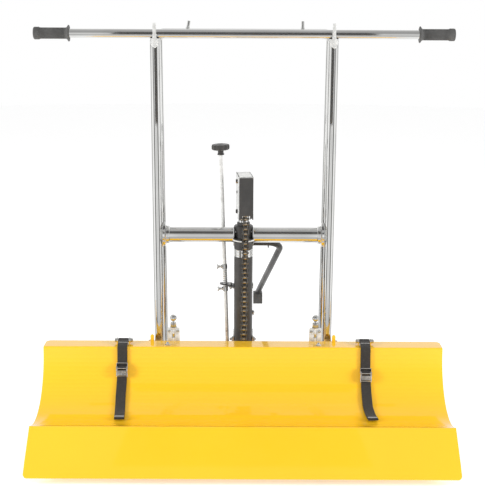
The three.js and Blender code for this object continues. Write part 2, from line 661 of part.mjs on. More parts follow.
function addStrap({ side, x, buckleTop, buckleFoot }) {
  const xs = [x - strap.width / 2, x + strap.width / 2];
  const loop = ring(strap.pin + gap + strap.thick, strap.pin + gap, strap.width, 20);
  aim(loop, unit.x, point(xs[0], strap.pinY, strap.pinZ));
  const low = 90 * degrees;
  const angles = [3 * degrees, buckleTop, buckleFoot];
  const rest = 4;
  for (let i = 1; i <= rest; i += 1) angles.push(buckleFoot + ((low - buckleFoot) * i) / rest);
  const centreline = [
    [strap.pinY - 1, strap.pinZ + strap.pin + gap + 1.2], [strap.pinY - 8, strap.pinZ + 2],
    [tray.wallY + 4, tray.flangeZ + strap.clear - 0.4], [tray.wallY - 2.6, tray.flangeZ + 1.8],
    ...angles.map((angle) => trayPoint(strapRadius, angle)),
  ];
  const bore = rod(point(xs[0] - 1, strap.pinY, strap.pinZ), point(xs[1] + 1, strap.pinY, strap.pinZ), strap.pin + gap, 20);
  add(`strap_${side}`, cut(join(loop, ribbon(centreline, strap.thick, xs)), bore), webbing);
}

function addStrapPin({ side, x }) {
  const at = (dx) => point(x + dx, strap.pinY, strap.pinZ);
  const shank = rod(at(-21), at(27), strap.pin, 16);
  const headPiece = hexPrism(at(-lug.outer - gap), at(-lug.outer - 5), 10);
  const nut = hexPrism(at(lug.outer + gap), at(lug.outer + 5.5), 10);
  add(`strap_pin_${side}`, join(shank, headPiece, nut), zinc);
}

const buckle = { pinY: -5, pinZ: 6, pin: 1.6, cam: 3.4, halfWidth: 15, cheek: 1.6 };

function addBuckle({ side, x, buckleTop, buckleFoot }) {
  const middle = (buckleTop + buckleFoot) / 2;
  const reach = strapRadius * Math.cos((buckleFoot - buckleTop) / 2);
  const [y, z] = trayPoint(reach, middle);
  const group = new THREE.Group();
  group.position.set(x, y, z);
  group.rotation.x = -middle;
  object.add(group);
  const w = buckle.halfWidth;
  const back = block([-w, w], [1.5, 3], [-18, 18]);
  const window = block([-9, 9], [0, 4], [-12, -2]);
  const cheek = [[3, -16], [3, 16], [-5, 14], [-9, 9], [-9, 2], [-3, -10]];
  const cheeks = sides.map((end) => slabX(cheek, [end * (w - buckle.cheek), end * w]));
  const bars = [[14, 17], [-17, -14]].map((zs) => block([-w, w], [-3.4, -1.8], zs));
  const pin = rod(point(-w - 1.5, buckle.pinY, buckle.pinZ), point(w + 1.5, buckle.pinY, buckle.pinZ), buckle.pin, 16);
  const links = sides.flatMap((end) => [[13.4, 17], [-17, -13.4]].map((zs) =>
    block([end * (w - buckle.cheek), end * w], [-3.4, 3], zs)));
  add(`buckle_${side}`, join(cut(back, window), ...cheeks, ...bars, ...links, pin), chrome, group);
  const leverHalf = w - buckle.cheek - gap;
  const cam = rod(point(-leverHalf, buckle.pinY, buckle.pinZ), point(leverHalf, buckle.pinY, buckle.pinZ), buckle.cam, 16);
  const plate = slabX([[-8.4, 6], [-6, 6], [-6, -10], [-7.6, -13], [-9.6, -13], [-8.4, -9]], [-leverHalf, leverHalf]);
  const bore = rod(point(-w, buckle.pinY, buckle.pinZ), point(w, buckle.pinY, buckle.pinZ), buckle.pin + 0.1, 16);
  add(`buckle_lever_${side}`, cut(join(cam, plate), bore), zinc, group);
}

// ---- Carriage ----

const guide = { frontY: -22, frontZ: 226, rearY: 24, rearZ: 112, width: 17, axle: 4 };
const plates = { outerIn: 234, outerOut: 239, frontY: -32, backY: -29 };
const beam = { y0: -57.3, y1: -32.3, z0: 130, z1: 170 };

// Roller waisted to the mast's own curve.
function guideRoller(distance) {
  const half = guide.width / 2;
  const steps = 4;
  const profile = [[guide.axle + 0.1, -half]];
  for (let i = 0; i <= steps; i += 1) {
    const u = -half + (guide.width * i) / steps;
    profile.push([distance - Math.sqrt(mast.radius ** 2 - u ** 2) - gap, u]);
  }
  profile.push([guide.axle + 0.1, half], [guide.axle + 0.1, -half]);
  return turned(profile, columnFacets);
}

function addGuideRoller(side, name, y, z) {
  const roller = aim(guideRoller(Math.abs(y)), unit.x, point(side * mast.x, y, z));
  add(`guide_roller_${name}_${sideName(side)}`, roller, zinc);
}

function addCarriageBracket(side) {
  const out = [[-80, 132], [-80, 231.5], [-37.5, 231.5], [-34, 240], [-8, 240], [34, 130], [34, 98], [10, 98], [-40, 126]];
  const outer = slabX(out, [side * plates.outerIn, side * plates.outerOut]);
  const ear = [[160, 130], [239, 130], [239, 206], [203, 206], [200, 264], [170, 264], [163, 206]]
    .map(([x, z]) => [side * x, z]);
  const front = slabY(side > 0 ? ear : ear.reverse(), [plates.frontY, plates.backY]);
  const axles = [[guide.frontY, guide.frontZ], [guide.rearY, guide.rearZ]].map(([y, z]) => {
    const inner = side * (mast.x - guide.width / 2 - 2);
    return rod(point(inner, y, z), point(side * (plates.outerOut + 4), y, z), guide.axle);
  });
  add(`carriage_bracket_${sideName(side)}`, join(outer, front, ...axles), yellow);
}

function addCarriageBeam() {
  const end = plates.outerIn - gap;
  const tube = block([-end, end], [beam.y0, beam.y1], [beam.z0, beam.z1]);
  const hollow = block([-300, 300], [beam.y0 + 3, beam.y1 - 3], [beam.z0 + 3, beam.z1 - 3]);
  const deep = chain.plate / 2 + 0.1;
  const clevis = block([anchor.x - 9, anchor.x + 9], [chainY - deep, chainY + deep], [beam.z1 - 14, anchor.z]);
  const shelf = block([anchor.x - 9, anchor.x + 9], [beam.y1 - 4, chainY + deep], [beam.z1 - 14, beam.z1 - 2]);
  add("carriage_beam", join(cut(tube, hollow), clevis, shelf), yellow);
}

const latch = { x: 183.5, shift: 3.5, y: -34.8, foot: 206, top: 269.5, nut: [273, 284], ballZ: 296, ball: 9, stem: 2.2 };

function addLatch(side) {
  const name = sideName(side);
  const x = side * latch.x + latch.shift;
  const plate = block([x - 16, x + 16], [-35.3, plates.frontY - gap], [latch.foot, latch.top]);
  const sleeve = rod(point(x, latch.y, latch.top - 4), point(x, latch.y, latch.nut[0] + 6), 6);
  const nut = hexPrism(point(x, latch.y, latch.nut[0]), point(x, latch.y, latch.nut[1]), 15);
  const bore = rod(point(x, latch.y, latch.top - 15), point(x, latch.y, latch.nut[1] + 4), latch.stem + gap);
  const clear = latch.stem + gap;
  const channel = block([x - clear, x + clear], [-38, -30], [latch.foot - 1, latch.top - 3.5]);
  add(`latch_plate_${name}`, cut(join(plate, sleeve, nut), bore, channel), zinc);
  const stem = rod(point(x, latch.y, latch.foot + 2), point(x, latch.y, latch.ballZ), latch.stem);
  const ball = new THREE.SphereGeometry(latch.ball, 16, 10).translate(x, latch.y, latch.ballZ);
  add(`latch_pin_${name}`, join(ball, stem), chrome);
}

// ---- Assembly ----

for (const side of sides) {
  addMast(side);
  addGrip(side);
  addSideRail(side);
  addCaster(side);
  addCarriageBracket(side);
  addGuideRoller(side, "front", guide.frontY, guide.frontZ);
  addGuideRoller(side, "rear", guide.rearY, guide.rearZ);
  addLatch(side);
}
addHoop();
addHandlebar();
addCrossTube();
addBaseCrossbar();
addColumn();
addBarrelBolt();
addRam();
addHead();
addSprocket();
addChain();
addChainGuard();
addPump();
addPedalBracket();
addPedal();
addPedalPad();
addReleaseRod();
addThumbCollar("upper", collars.upper);
addThumbCollar("lower", collars.lower);
addReleaseSpring();
addRodBracket();
addTray();
for (const place of straps) {
  addStrapPin(place);
  addStrap(place);
  addBuckle(place);
}
addCarriageBeam();

// The origin is the middle of the footprint, on the floor.
const extent = new THREE.Box3().setFromObject(object, true);
const middle = extent.getCenter(point());
object.position.set(-middle.x, -middle.y, -extent.min.z);

export default object;
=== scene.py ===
"""Hydraulic roll-lifting trolley: smooth visible pieces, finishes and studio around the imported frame."""
import json
import math

import bmesh
import bpy
from mathutils import Matrix, Vector

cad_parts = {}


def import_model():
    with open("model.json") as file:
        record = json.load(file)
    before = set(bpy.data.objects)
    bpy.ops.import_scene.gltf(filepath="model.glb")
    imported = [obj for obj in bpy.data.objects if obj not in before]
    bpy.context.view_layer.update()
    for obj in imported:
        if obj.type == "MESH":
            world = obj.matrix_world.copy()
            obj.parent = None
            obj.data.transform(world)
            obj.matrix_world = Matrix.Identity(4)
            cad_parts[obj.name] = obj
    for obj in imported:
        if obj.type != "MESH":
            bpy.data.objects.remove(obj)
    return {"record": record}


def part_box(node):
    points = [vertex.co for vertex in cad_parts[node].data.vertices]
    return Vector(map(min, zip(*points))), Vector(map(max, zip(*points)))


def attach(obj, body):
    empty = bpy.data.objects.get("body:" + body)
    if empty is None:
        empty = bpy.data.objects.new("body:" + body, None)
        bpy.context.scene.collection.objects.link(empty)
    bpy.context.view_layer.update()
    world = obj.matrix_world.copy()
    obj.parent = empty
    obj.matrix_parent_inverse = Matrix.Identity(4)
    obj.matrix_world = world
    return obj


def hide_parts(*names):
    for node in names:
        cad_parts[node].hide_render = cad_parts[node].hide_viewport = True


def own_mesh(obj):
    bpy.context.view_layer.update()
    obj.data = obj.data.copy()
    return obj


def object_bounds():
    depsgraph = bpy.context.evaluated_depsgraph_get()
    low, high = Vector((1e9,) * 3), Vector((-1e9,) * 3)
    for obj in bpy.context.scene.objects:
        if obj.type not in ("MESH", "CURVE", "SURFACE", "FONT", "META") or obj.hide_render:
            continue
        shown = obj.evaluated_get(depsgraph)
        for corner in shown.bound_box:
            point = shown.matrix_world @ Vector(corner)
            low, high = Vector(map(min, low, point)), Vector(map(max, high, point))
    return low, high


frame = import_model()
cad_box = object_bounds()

# ---- The frame: shapes below are in millimetres, with depth 0 in the plane of the masts ----

MM = 0.001
BAR_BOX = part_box("handlebar")
MAST_PLANE = (BAR_BOX[0][1] + BAR_BOX[1][1]) / 2
BODY_OF = {n: body for body, nodes in frame["record"]["behaviour"]["bodies"].items() for n in nodes}
SIDES = {"left": -1, "right": 1}
ENDS = (-1, 1)
X, Y, Z = Vector((1, 0, 0)), Vector((0, 1, 0)), Vector((0, 0, 1))


def span(node):
    """Lowest and highest corner of a CAD node, in millimetres."""
    low, high = (Vector(corner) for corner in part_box(node))
    shift = Vector((0, MAST_PLANE, 0))
    return (low - shift) / MM, (high - shift) / MM


# ---- Driving dimensions: the CAD's, or a few millimetres off where the photo is followed ----

GAP = 0.3
MAST = {"x": 219.5, "radius": 12.7, "wall": 2, "top": 1001, "tie_z": 925}
HOOP = {"top_y": 72, "foot_y": 148, "top_z": 1011.5, "foot_z": 131, "bend": 17}
BAR = {"z": 1013, "radius": 11.1, "bore": 9.3}
CROSS = {"z": 509, "radius": 20, "bore": 17.5, "start": 25.4}
RAIL = {"z": 60, "radius": 15, "bore": 12.5, "plate_top": 131}
COLUMN = {"y": 6, "radius": 24}
HEAD = {"x": 2.5, "bottom": 563, "top": 664, "half_width": 18.2, "half_depth": 43, "yaw": math.radians(5.5),
        "wall": 2.5, "axle_z": 617}
CHAIN = {"pitch": 12.7, "teeth": 18, "roller": 4.25, "pin": 2.2, "width": 18.5, "plate": 5.6, "stroke": 300}
PITCH_RADIUS = CHAIN["pitch"] / 2 / math.sin(math.pi / CHAIN["teeth"])
CHAIN_Y = COLUMN["y"] - PITCH_RADIUS * math.cos(HEAD["yaw"])
TRAY = {"half": 508, "sheet": 3, "flange_z": 235, "flange_y": -38, "wall_y": -89.5, "radius": 142.5,
        "lip": 115.5, "bend": 5, "foot": (-393, 20), "front_corner": 9, "rear_corner": 12, "presses": 26}
TRAY_AXIS = Vector((TRAY["wall_y"] - TRAY["radius"], TRAY["flange_z"]))
STRAP = {"width": 25, "thick": 2.2, "reach": TRAY["radius"] - 4.6, "pin_y": -61, "pin_z": 244, "pin": 3}
STRAPS = {
    "left": {"x": -306.5, "top": 15.1, "foot": 32.4, "drift": 5.5, "drift_from": 0.3},
    "right": {"x": 311.5, "top": 19.5, "foot": 37.5, "drift": 9, "drift_from": 0.45},
}
RELEASE = {"x": -58.6, "y": 30, "z": 710.6, "lean": math.radians(1.9), "radius": 4.9}
THUMB_COLLARS = {"upper": -293.6, "lower": -353.6}
CASTER = {"y": 185, "trail": 32, "axle_z": 50}
ROLLERS = {"front": (-22, 226), "rear": (24, 112)}
LATCH = {"x": 183.5, "shift": 3.5, "y": -34.8, "foot": 206, "top": 269.5, "nut": 273, "ball_z": 296,
         "ball": 9}
PEDAL = {"y": 62, "z": 474, "radius": 8, "bend": 34}
PUMP_Y = 86


# ---- Shapes: each is a closed shell of corners and faces ----

def basis(direction):
    """Two unit vectors square to a direction."""
    along = Vector(direction).normalized()
    across = (Z if abs(along.z) < 0.9 else X).cross(along).normalized()
    return across, along.cross(across)


def arc(centre, radius, start, end, steps, stretch=1.0):
    """Points on a circle, or on an ellipse, between two angles in degrees."""
    turns = [math.radians(start + (end - start) * i / steps) for i in range(steps + 1)]
    return [(centre[0] + radius * math.cos(t), centre[1] + radius * stretch * math.sin(t)) for t in turns]


def beside(side, a, b, plane=0):
    """Two distances to one side of a plane, as low and high."""
    return sorted((plane + side * a, plane + side * b))


def lathe(profile, start, direction, segments=48, flutes=0):
    """A body of revolution from (radius, height, flute depth) entries; repeating the first closes a ring."""
    along = Vector(direction).normalized()
    u, v = basis(direction)
    closed = profile[0] == profile[-1]
    entries = profile[:-1] if closed else profile
    corners, rings = [], []
    for radius, height, *depth in entries:
        centre = Vector(start) + along * height
        if radius < 1e-6:
            rings.append([len(corners)])
            corners.append(centre)
            continue
        rings.append(list(range(len(corners), len(corners) + segments)))
        for i in range(segments):
            angle = 2 * math.pi * i / segments
            r = radius - sum(depth) * (0.5 + 0.5 * math.cos(flutes * angle))
            corners.append(centre + (u * math.cos(angle) + v * math.sin(angle)) * r)
    faces = []
    for a, b in zip(rings, rings[1:] + rings[:1] if closed else rings[1:]):
        for i in range(segments):
            j = (i + 1) % segments
            if len(a) > 1 and len(b) > 1:
                faces.append((a[i], a[j], b[j], b[i]))
            elif len(b) > 1:
                faces.append((a[0], b[i], b[j]))
            elif len(a) > 1:
                faces.append((a[i], b[0], a[j]))
    return corners, faces


def rod(start, end, radius, segments=48, chamfer=0.6):
    """A solid bar with chamfered ends."""
    run = Vector(end) - Vector(start)
    length = run.length
    c = min(chamfer, length / 4, radius / 3)
    profile = [(0, 0), (radius - c, 0), (radius, c), (radius, length - c), (radius - c, length),
               (0, length)]
    return lathe(profile, start, run, segments)


def pipe(start, end, outer, inner, segments=64):
    """A tube that is open at both ends."""
    run = Vector(end) - Vector(start)
    length = run.length
    c = min(0.5, (outer - inner) / 3)
    profile = [(inner, 0), (outer - c, 0), (outer, c), (outer, length - c), (outer - c, length),
               (inner, length), (inner, 0)]
    return lathe(profile, start, run, segments)


def hexagon(start, end, across):
    run = Vector(end) - Vector(start)
    length = run.length
    r = across / math.sqrt(3)
    profile = [(0, 0), (r * 0.97, 0), (r, 0.5), (r, length - 0.9), (r * 0.9, length), (0, length)]
    return lathe(profile, start, run, 6)


def level(shape, low, high, y, z, *sizes):
    """A bar, tube or nut lying along X."""
    return shape((low, y, z), (high, y, z), *sizes)


def upright(shape, x, y, low, high, *sizes):
    return shape((x, y, low), (x, y, high), *sizes)


def ball(centre, radius, segments=32, steps=14):
    profile = [(x, z) for z, x in arc((0, 0), radius, 180, 0, steps)]
    profile[0], profile[-1] = (0, -radius), (0, radius)
    return lathe(profile, centre, Z, segments)


def swept(path, radius, segments=48, closed=False, lumps=None):
    """A round bar along a path; lumps(i) scales its radius station by station."""
    points = [Vector(p) for p in path]
    count = len(points)
    corners, faces = [], []
    across = None
    for i, p in enumerate(points):
        before = points[i - 1] if closed or i else p
        after = points[(i + 1) % count] if closed or i < count - 1 else p
        along = (after - before).normalized()
        across = across or basis(along)[0]
        across = (across - along * across.dot(along)).normalized()
        other = along.cross(across)
        r = radius * (lumps(i) if lumps else 1)
        for k in range(segments):
            angle = 2 * math.pi * k / segments
            corners.append(p + (across * math.cos(angle) + other * math.sin(angle)) * r)
    for i in range(count if closed else count - 1):
        a, b = i * segments, ((i + 1) % count) * segments
        faces += [(a + k, a + (k + 1) % segments, b + (k + 1) % segments, b + k) for k in range(segments)]
    if not closed:
        faces.append(tuple(range(segments)))
        faces.append(tuple(range((count - 1) * segments, count * segments)))
    return corners, faces


def capped(corners):
    """A prism's corners, one end after the other, with its faces."""
    n = len(corners) // 2
    faces = [tuple(range(n)), tuple(range(n, 2 * n))]
    return corners, faces + [(i, (i + 1) % n, n + (i + 1) % n, n + i) for i in range(n)]


def prism(outline, low, high, normal):
    """An outline in the plane square to an axis, extruded from low to high along it."""
    a, b, c = {"x": (X, Y, Z), "y": (Y, X, Z), "z": (Z, X, Y)}[normal]
    return capped([a * at + b * p[0] + c * p[1] for at in (low, high) for p in outline])


def block(xs, ys, zs):
    return prism([(xs[0], ys[0]), (xs[1], ys[0]), (xs[1], ys[1]), (xs[0], ys[1])], zs[0], zs[1], "z")


def rounded_plate(xs, zs, ys, radius, steps=5):
    """A plate with round corners, facing along Y."""
    outline = []
    for x, z, start in ((xs[1] - radius, zs[1] - radius, 0), (xs[0] + radius, zs[1] - radius, 90),
                        (xs[0] + radius, zs[0] + radius, 180), (xs[1] - radius, zs[0] + radius, 270)):
        outline += arc((x, z), radius, start, start + 90, steps)
    return prism(outline, ys[0], ys[1], "y")


def arc_band(centre, outer, inner, low, high, start, end, steps=40):
    """Part of a flat ring about Z, between two angles in degrees."""
    outline = arc(centre, outer, start, end, steps) + arc(centre, inner, end, start, steps)
    return prism(outline, low, high, "z")


def dome_nut(base, direction, across=10):
    """A washer, a hexagon and a round cap."""
    along = Vector(direction).normalized()
    radius = across * 0.45
    seat = Vector(base) + along * 1.4
    top = seat + along * radius
    cap = [(0, -0.5), (radius, -0.5)] + arc((0, 0), radius, 0, 75, 5) + [(0, radius)]
    return [rod(Vector(base), seat, across * 0.85, 32, 0.3), hexagon(seat, top, across),
            lathe(cap, top, along, 32)]


def cap_screw(base, direction, radius=2.6, height=2.2):
    """A domed screw head with a socket."""
    profile = [(0, 0), (radius, 0), (radius, height * 0.4), (radius * 0.8, height * 0.85),
               (radius * 0.5, height), (radius * 0.45, height * 0.45), (0, height * 0.4)]
    return lathe(profile, base, direction, 24)


def thread(pitches, crest, root):
    """A profile that rises and falls once a millimetre."""
    return [point for i in range(pitches) for point in ((crest, i + 0.2), (root, i + 0.7))]


def weld(centre, u, v, radius, thick=1.9, lumps=46, squash=(1, 1)):
    """A weld bead round a joint, swelling with each stroke of the torch."""
    count = lumps * 3
    turns = [2 * math.pi * i / count for i in range(count)]
    path = [Vector(centre) + u * (radius * squash[0] * math.cos(t)) + v * (radius * squash[1] * math.sin(t))
            for t in turns]
    return swept(path, thick, 10, closed=True, lumps=lambda i: 0.86 + 0.14 * math.cos(2 * math.pi * i / 3)
                 + 0.05 * math.sin(i * 1.7))


def bent(points, radius, steps):
    """A route with each inner corner replaced by an arc."""
    points = [Vector(p) for p in points]
    route = [points[0]]
    for before, corner, after in zip(points, points[1:], points[2:]):
        back, ahead = (before - corner).normalized(), (after - corner).normalized()
        half = back.angle(ahead) / 2
        centre = corner + (back + ahead).normalized() * (radius / math.sin(half))
        start = corner + back * (radius / math.tan(half)) - centre
        axis = ahead.cross(back).normalized()
        for k in range(steps + 1):
            route.append(Matrix.Rotation((math.pi - 2 * half) * k / steps, 3, axis) @ start + centre)
    return route + [points[-1]]


# ---- Making pieces ----

def build(name, shells, look, place=None, sharp=32, bevel=0.0, weave=None):
    """One mesh from closed shells, with sharp edges kept; weave is each corner's place in the cloth."""
    mesh = bmesh.new()
    layer = mesh.loops.layers.uv.new("weave") if weave else None
    turn = place or Matrix.Identity(4)
    for corners, faces in shells:
        made = [mesh.verts.new(turn @ Vector(c)) for c in corners]
        for face in faces:
            mesh.faces.new([made[i] for i in face])
    bmesh.ops.recalc_face_normals(mesh, faces=mesh.faces)
    if bevel:
        edges = [e for e in mesh.edges if e.is_manifold and e.calc_face_angle() > math.radians(sharp)]
        bmesh.ops.bevel(mesh, geom=edges, offset=bevel, segments=2, profile=0.6, affect="EDGES",
                        clamp_overlap=True)
    for vertex in mesh.verts:
        vertex.co = Vector((vertex.co.x * MM, vertex.co.y * MM + MAST_PLANE, vertex.co.z * MM))
    mesh.verts.index_update()
    for face in mesh.faces:
        face.smooth = True
        for loop in face.loops if weave else ():
            loop[layer].uv = weave[loop.vert.index]
    for edge in mesh.edges:
        edge.smooth = not (edge.is_manifold and edge.calc_face_angle() > math.radians(sharp))
    data = bpy.data.meshes.new(name)
    mesh.to_mesh(data)
    mesh.free()
    piece = bpy.data.objects.new(name, data)
    bpy.context.collection.objects.link(piece)
    data.materials.append(look)
    return piece


def extra(name, body, shells, look, place=None, **finish):
    """A small fitting that the CAD leaves out."""
    piece = build(name, shells, look, place, **finish)
    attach(piece, body)
    return piece


def stand_in(node, shells, look, place=None, **finish):
    """A finished piece that is shown instead of a CAD node."""
    piece = extra(f"{node}_shape", BODY_OF[node], shells, look, place, **finish)
    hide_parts(node)
    return piece


# ---- Finishes ----

class Look:
    """A node material with helpers for the patterns that the finishes share."""

    def __init__(self, name, slot, base, roughness, metallic=0.0):
        self.material = bpy.data.materials.new(name)
        self.material["slot"] = slot
        self.material.use_nodes = True
        self.tree = self.material.node_tree
        self.shader = self.tree.nodes["Principled BSDF"]
        self.set("Base Color", (*base, 1))
        self.set("Roughness", roughness)
        self.set("Metallic", metallic)
        self.place = self.node("ShaderNodeTexCoord").outputs["Object"]
        self.height = None

    def set(self, socket, value):
        self.shader.inputs[socket].default_value = value

    def node(self, kind, **values):
        made = self.tree.nodes.new(kind)
        for key, value in values.items():
            setattr(made, key, value)
        return made

    def filled(self, kind, source, target, **numbers):
        """A node with one socket linked and others set."""
        made = self.node(kind)
        for key, value in numbers.items():
            made.inputs[key.replace("_", " ")].default_value = value
        self.link(source, made.inputs[target])
        return made

    def link(self, source, target):
        self.tree.links.new(source, target)

    def stretched(self, scale):
        return self.filled("ShaderNodeMapping", self.place, "Vector", Scale=scale).outputs["Vector"]

    def noise(self, scale, detail=3.0, roughness=0.55, source=None):
        made = self.filled("ShaderNodeTexNoise", source or self.place, "Vector", Scale=scale, Detail=detail,
                           Roughness=roughness)
        return made.outputs["Fac"]

    def spread(self, source, low, high, out_low=0.0, out_high=1.0):
        made = self.filled("ShaderNodeMapRange", source, "Value", From_Min=low, From_Max=high,
                           To_Min=out_low, To_Max=out_high)
        return made.outputs["Result"]

    def maths(self, kind, a, b):
        made = self.node("ShaderNodeMath", operation=kind)
        self.link(a, made.inputs[0])
        self.link(b, made.inputs[1])
        return made.outputs["Value"]

    def mix(self, share, first, second):
        made = self.node("ShaderNodeMix", data_type="RGBA")
        colours = [s for s in made.inputs if s.type == "RGBA"]
        for socket, value in zip(colours, (first, second)):
            if isinstance(value, tuple):
                socket.default_value = (*value, 1)
            else:
                self.link(value, socket)
        self.link(share, made.inputs["Factor"])
        return next(s for s in made.outputs if s.type == "RGBA")

    def colour(self, source):
        self.link(source, self.shader.inputs["Base Color"])

    def rough(self, source):
        self.link(source, self.shader.inputs["Roughness"])

    def bump(self, source, strength, distance):
        made = self.filled("ShaderNodeBump", source, "Height", Strength=strength, Distance=distance)
        if self.height is not None:
            self.link(self.height, made.inputs["Normal"])
        self.height = made.outputs["Normal"]
        self.link(self.height, self.shader.inputs["Normal"])

    def edges(self, low, high):
        """1 on outward edges, where a finish rubs through."""
        return self.spread(self.node("ShaderNodeNewGeometry").outputs["Pointiness"], low, high)


def chrome_look():
    look = Look("polished_chrome", "chrome_plate", (0.86, 0.86, 0.85), 0.07, 1.0)
    cloud = look.noise(9.0, 4.0)
    fine = look.noise(220.0, 2.0)
    look.colour(look.mix(look.spread(cloud, 0.35, 0.7), (0.90, 0.90, 0.885), (0.78, 0.78, 0.765)))
    streaks = look.spread(cloud, 0.3, 0.75, 0.035, 0.11)
    look.rough(look.maths("ADD", streaks, look.spread(fine, 0.4, 0.75, 0.0, 0.05)))
    look.bump(look.noise(26.0, 2.0), 0.12, 0.0006)
    look.bump(fine, 0.05, 0.00008)
    return look.material


def zinc_look(name, tone):
    look = Look(name, "zinc_steel", (tone, tone, tone * 0.975), 0.3, 1.0)
    grain = look.noise(60.0, 3.0, source=look.stretched((1, 1, 0.12)))
    spangle = look.noise(150.0, 4.0)
    look.colour(look.mix(look.spread(spangle, 0.35, 0.7), (tone * 1.12, tone * 1.12, tone * 1.08),
                         (tone * 0.72, tone * 0.72, tone * 0.71)))
    look.rough(look.spread(grain, 0.3, 0.7, 0.2, 0.38))
    look.bump(spangle, 0.12, 0.0002)
    return look.material


def white_zinc_look():
    look = Look("clear_zinc_plate", "zinc_steel", (0.84, 0.84, 0.82), 0.34, 0.45)
    cloud = look.noise(90.0, 4.0)
    look.colour(look.mix(look.spread(cloud, 0.35, 0.7), (0.90, 0.90, 0.88), (0.70, 0.70, 0.68)))
    look.rough(look.spread(look.noise(40.0, 3.0), 0.3, 0.7, 0.26, 0.42))
    look.bump(cloud, 0.15, 0.0002)
    return look.material


def dusty_look(look, patches, clean, dirty, gloss, grain):
    """Dirt in patches, rougher where it lies, over a fine grain.

    patches holds the noise and the range of it that shows as dirt, gloss the roughness of clean and dirty,
    grain the noise and the strength and depth of the bumps.
    """
    dirt = look.spread(look.noise(*patches[:3]), *patches[3:])
    look.colour(look.mix(dirt, clean, dirty))
    look.rough(look.spread(dirt, 0.0, 1.0, *gloss))
    look.bump(look.noise(*grain[:2]), *grain[2:])
    return look.material


def chain_look(name, clean, grimy):
    return dusty_look(Look(name, "zinc_steel", clean, 0.28, 1.0), (120.0, 5.0, 0.7, 0.4, 0.7), clean, grimy,
                      (0.2, 0.48), (420.0, 2.0, 0.15, 0.0002))


def yellow_look():
    look = Look("yellow_powder_coat", "yellow_paint", (0.94, 0.56, 0.024), 0.2)
    look.set("Coat Weight", 1.0)
    look.set("Coat Roughness", 0.04)
    look.set("Coat IOR", 1.5)
    look.set("Specular IOR Level", 0.25)
    base = look.mix(look.spread(look.noise(3.2, 3.0), 0.3, 0.7), (0.95, 0.54, 0.018), (0.92, 0.515, 0.016))
    rubbed = look.spread(look.noise(38.0, 5.0, 0.7), 0.66, 0.8)
    scuff = look.noise(9.0, 6.0, 0.75, source=look.stretched((0.3, 6.0, 6.0)))
    base = look.mix(look.spread(scuff, 0.68, 0.78, 0.0, 0.18), base, (0.90, 0.60, 0.16))
    worn = look.maths("MULTIPLY", look.edges(0.56, 0.68), rubbed)
    look.colour(look.mix(worn, base, (0.42, 0.34, 0.22)))
    look.rough(look.spread(look.noise(14.0, 4.0), 0.3, 0.75, 0.14, 0.26))
    look.bump(look.noise(6.0, 3.0, source=look.stretched((0.4, 5.0, 5.0))), 0.05, 0.0012)
    look.bump(look.noise(420.0, 2.0), 0.03, 0.0002)
    return look.material


def black_look():
    enamel = (0.037, 0.0355, 0.034)
    look = Look("black_enamel", "black_paint", enamel, 0.36)
    look.set("Coat Weight", 0.15)
    look.set("Coat Roughness", 0.2)
    dust = look.spread(look.noise(18.0, 5.0, 0.65), 0.45, 0.8)
    worn = look.maths("MULTIPLY", look.edges(0.55, 0.66), look.spread(look.noise(55.0, 4.0), 0.5, 0.7))
    look.colour(look.mix(worn, look.mix(dust, enamel, (0.068, 0.064, 0.060)), (0.22, 0.21, 0.20)))
    look.rough(look.spread(look.noise(40.0, 4.0), 0.3, 0.7, 0.28, 0.48))
    look.bump(look.noise(300.0, 3.0), 0.16, 0.0003)
    return look.material


def webbing_look(name, shade):
    look = Look(name, "webbing", (0.045, 0.042, 0.04), 0.85)
    look.set("Sheen Weight", 0.12)
    look.set("Sheen Roughness", 0.5)
    weave = look.node("ShaderNodeUVMap", uv_map="weave").outputs["UV"]
    waves = []
    for direction, scale, distortion in (("X", 190.0, 0.0), ("Y", 240.0, 0.4)):
        wave = look.filled("ShaderNodeTexWave", weave, "Vector", Scale=scale, Distortion=distortion)
        wave.bands_direction = direction
        waves.append(wave.outputs["Fac"])
    threads = look.maths("MULTIPLY", *waves)
    fuzz = look.noise(300.0, 4.0)
    shadow, crest, lint = (tuple(shade * c for c in colour) for colour in
                           ((0.026, 0.024, 0.022), (0.066, 0.060, 0.055), (0.10, 0.092, 0.084)))
    look.colour(look.mix(look.spread(fuzz, 0.55, 0.8, 0.0, 0.6), look.mix(threads, shadow, crest), lint))
    look.rough(look.spread(fuzz, 0.3, 0.7, 0.75, 0.95))
    look.bump(threads, 0.7, 0.0006)
    return look.material


def thread_look():
    look = Look("stitching_thread", "webbing", (0.42, 0.41, 0.40), 0.7)
    twist = look.noise(900.0, 2.0)
    look.colour(look.mix(twist, (0.30, 0.29, 0.285), (0.56, 0.55, 0.54)))
    look.bump(twist, 0.4, 0.0002)
    return look.material


CHROME = chrome_look()
ZINC = zinc_look("bright_zinc", 0.74)
SILVER = zinc_look("satin_silver", 0.84)
WHITE_ZINC = white_zinc_look()
# Orange metal for the guide rollers: part of the orange is the rollers' own tint, and part is a painted
# reflection of the yellow tray around them.
ROLLER_TINT_AND_REFLECTION = dusty_look(Look("roller_tint_and_reflection", "zinc_steel", (0.55, 0.34, 0.12), 0.34, 1.0),
                    (80.0, 4.0, 0.65, 0.4, 0.7), (0.85, 0.50, 0.13), (0.45, 0.26, 0.09), (0.28, 0.5),
                    (300.0, 2.0, 0.12, 0.0002))
YELLOW = yellow_look()
BLACK = black_look()
RUBBER = dusty_look(Look("moulded_rubber", "grip_rubber", (0.075, 0.074, 0.072), 0.62),
                    (30.0, 5.0, 0.7, 0.4, 0.8), (0.070, 0.069, 0.067), (0.12, 0.118, 0.115), (0.5, 0.78),
                    (650.0, 2.0, 0.3, 0.0004))
TREAD = dusty_look(Look("wheel_polyurethane", "wheel_tread", (0.07, 0.07, 0.075), 0.5),
                   (45.0, 5.0, 0.7, 0.4, 0.75), (0.052, 0.052, 0.056), (0.16, 0.155, 0.15), (0.42, 0.75),
                   (380.0, 3.0, 0.25, 0.0004))
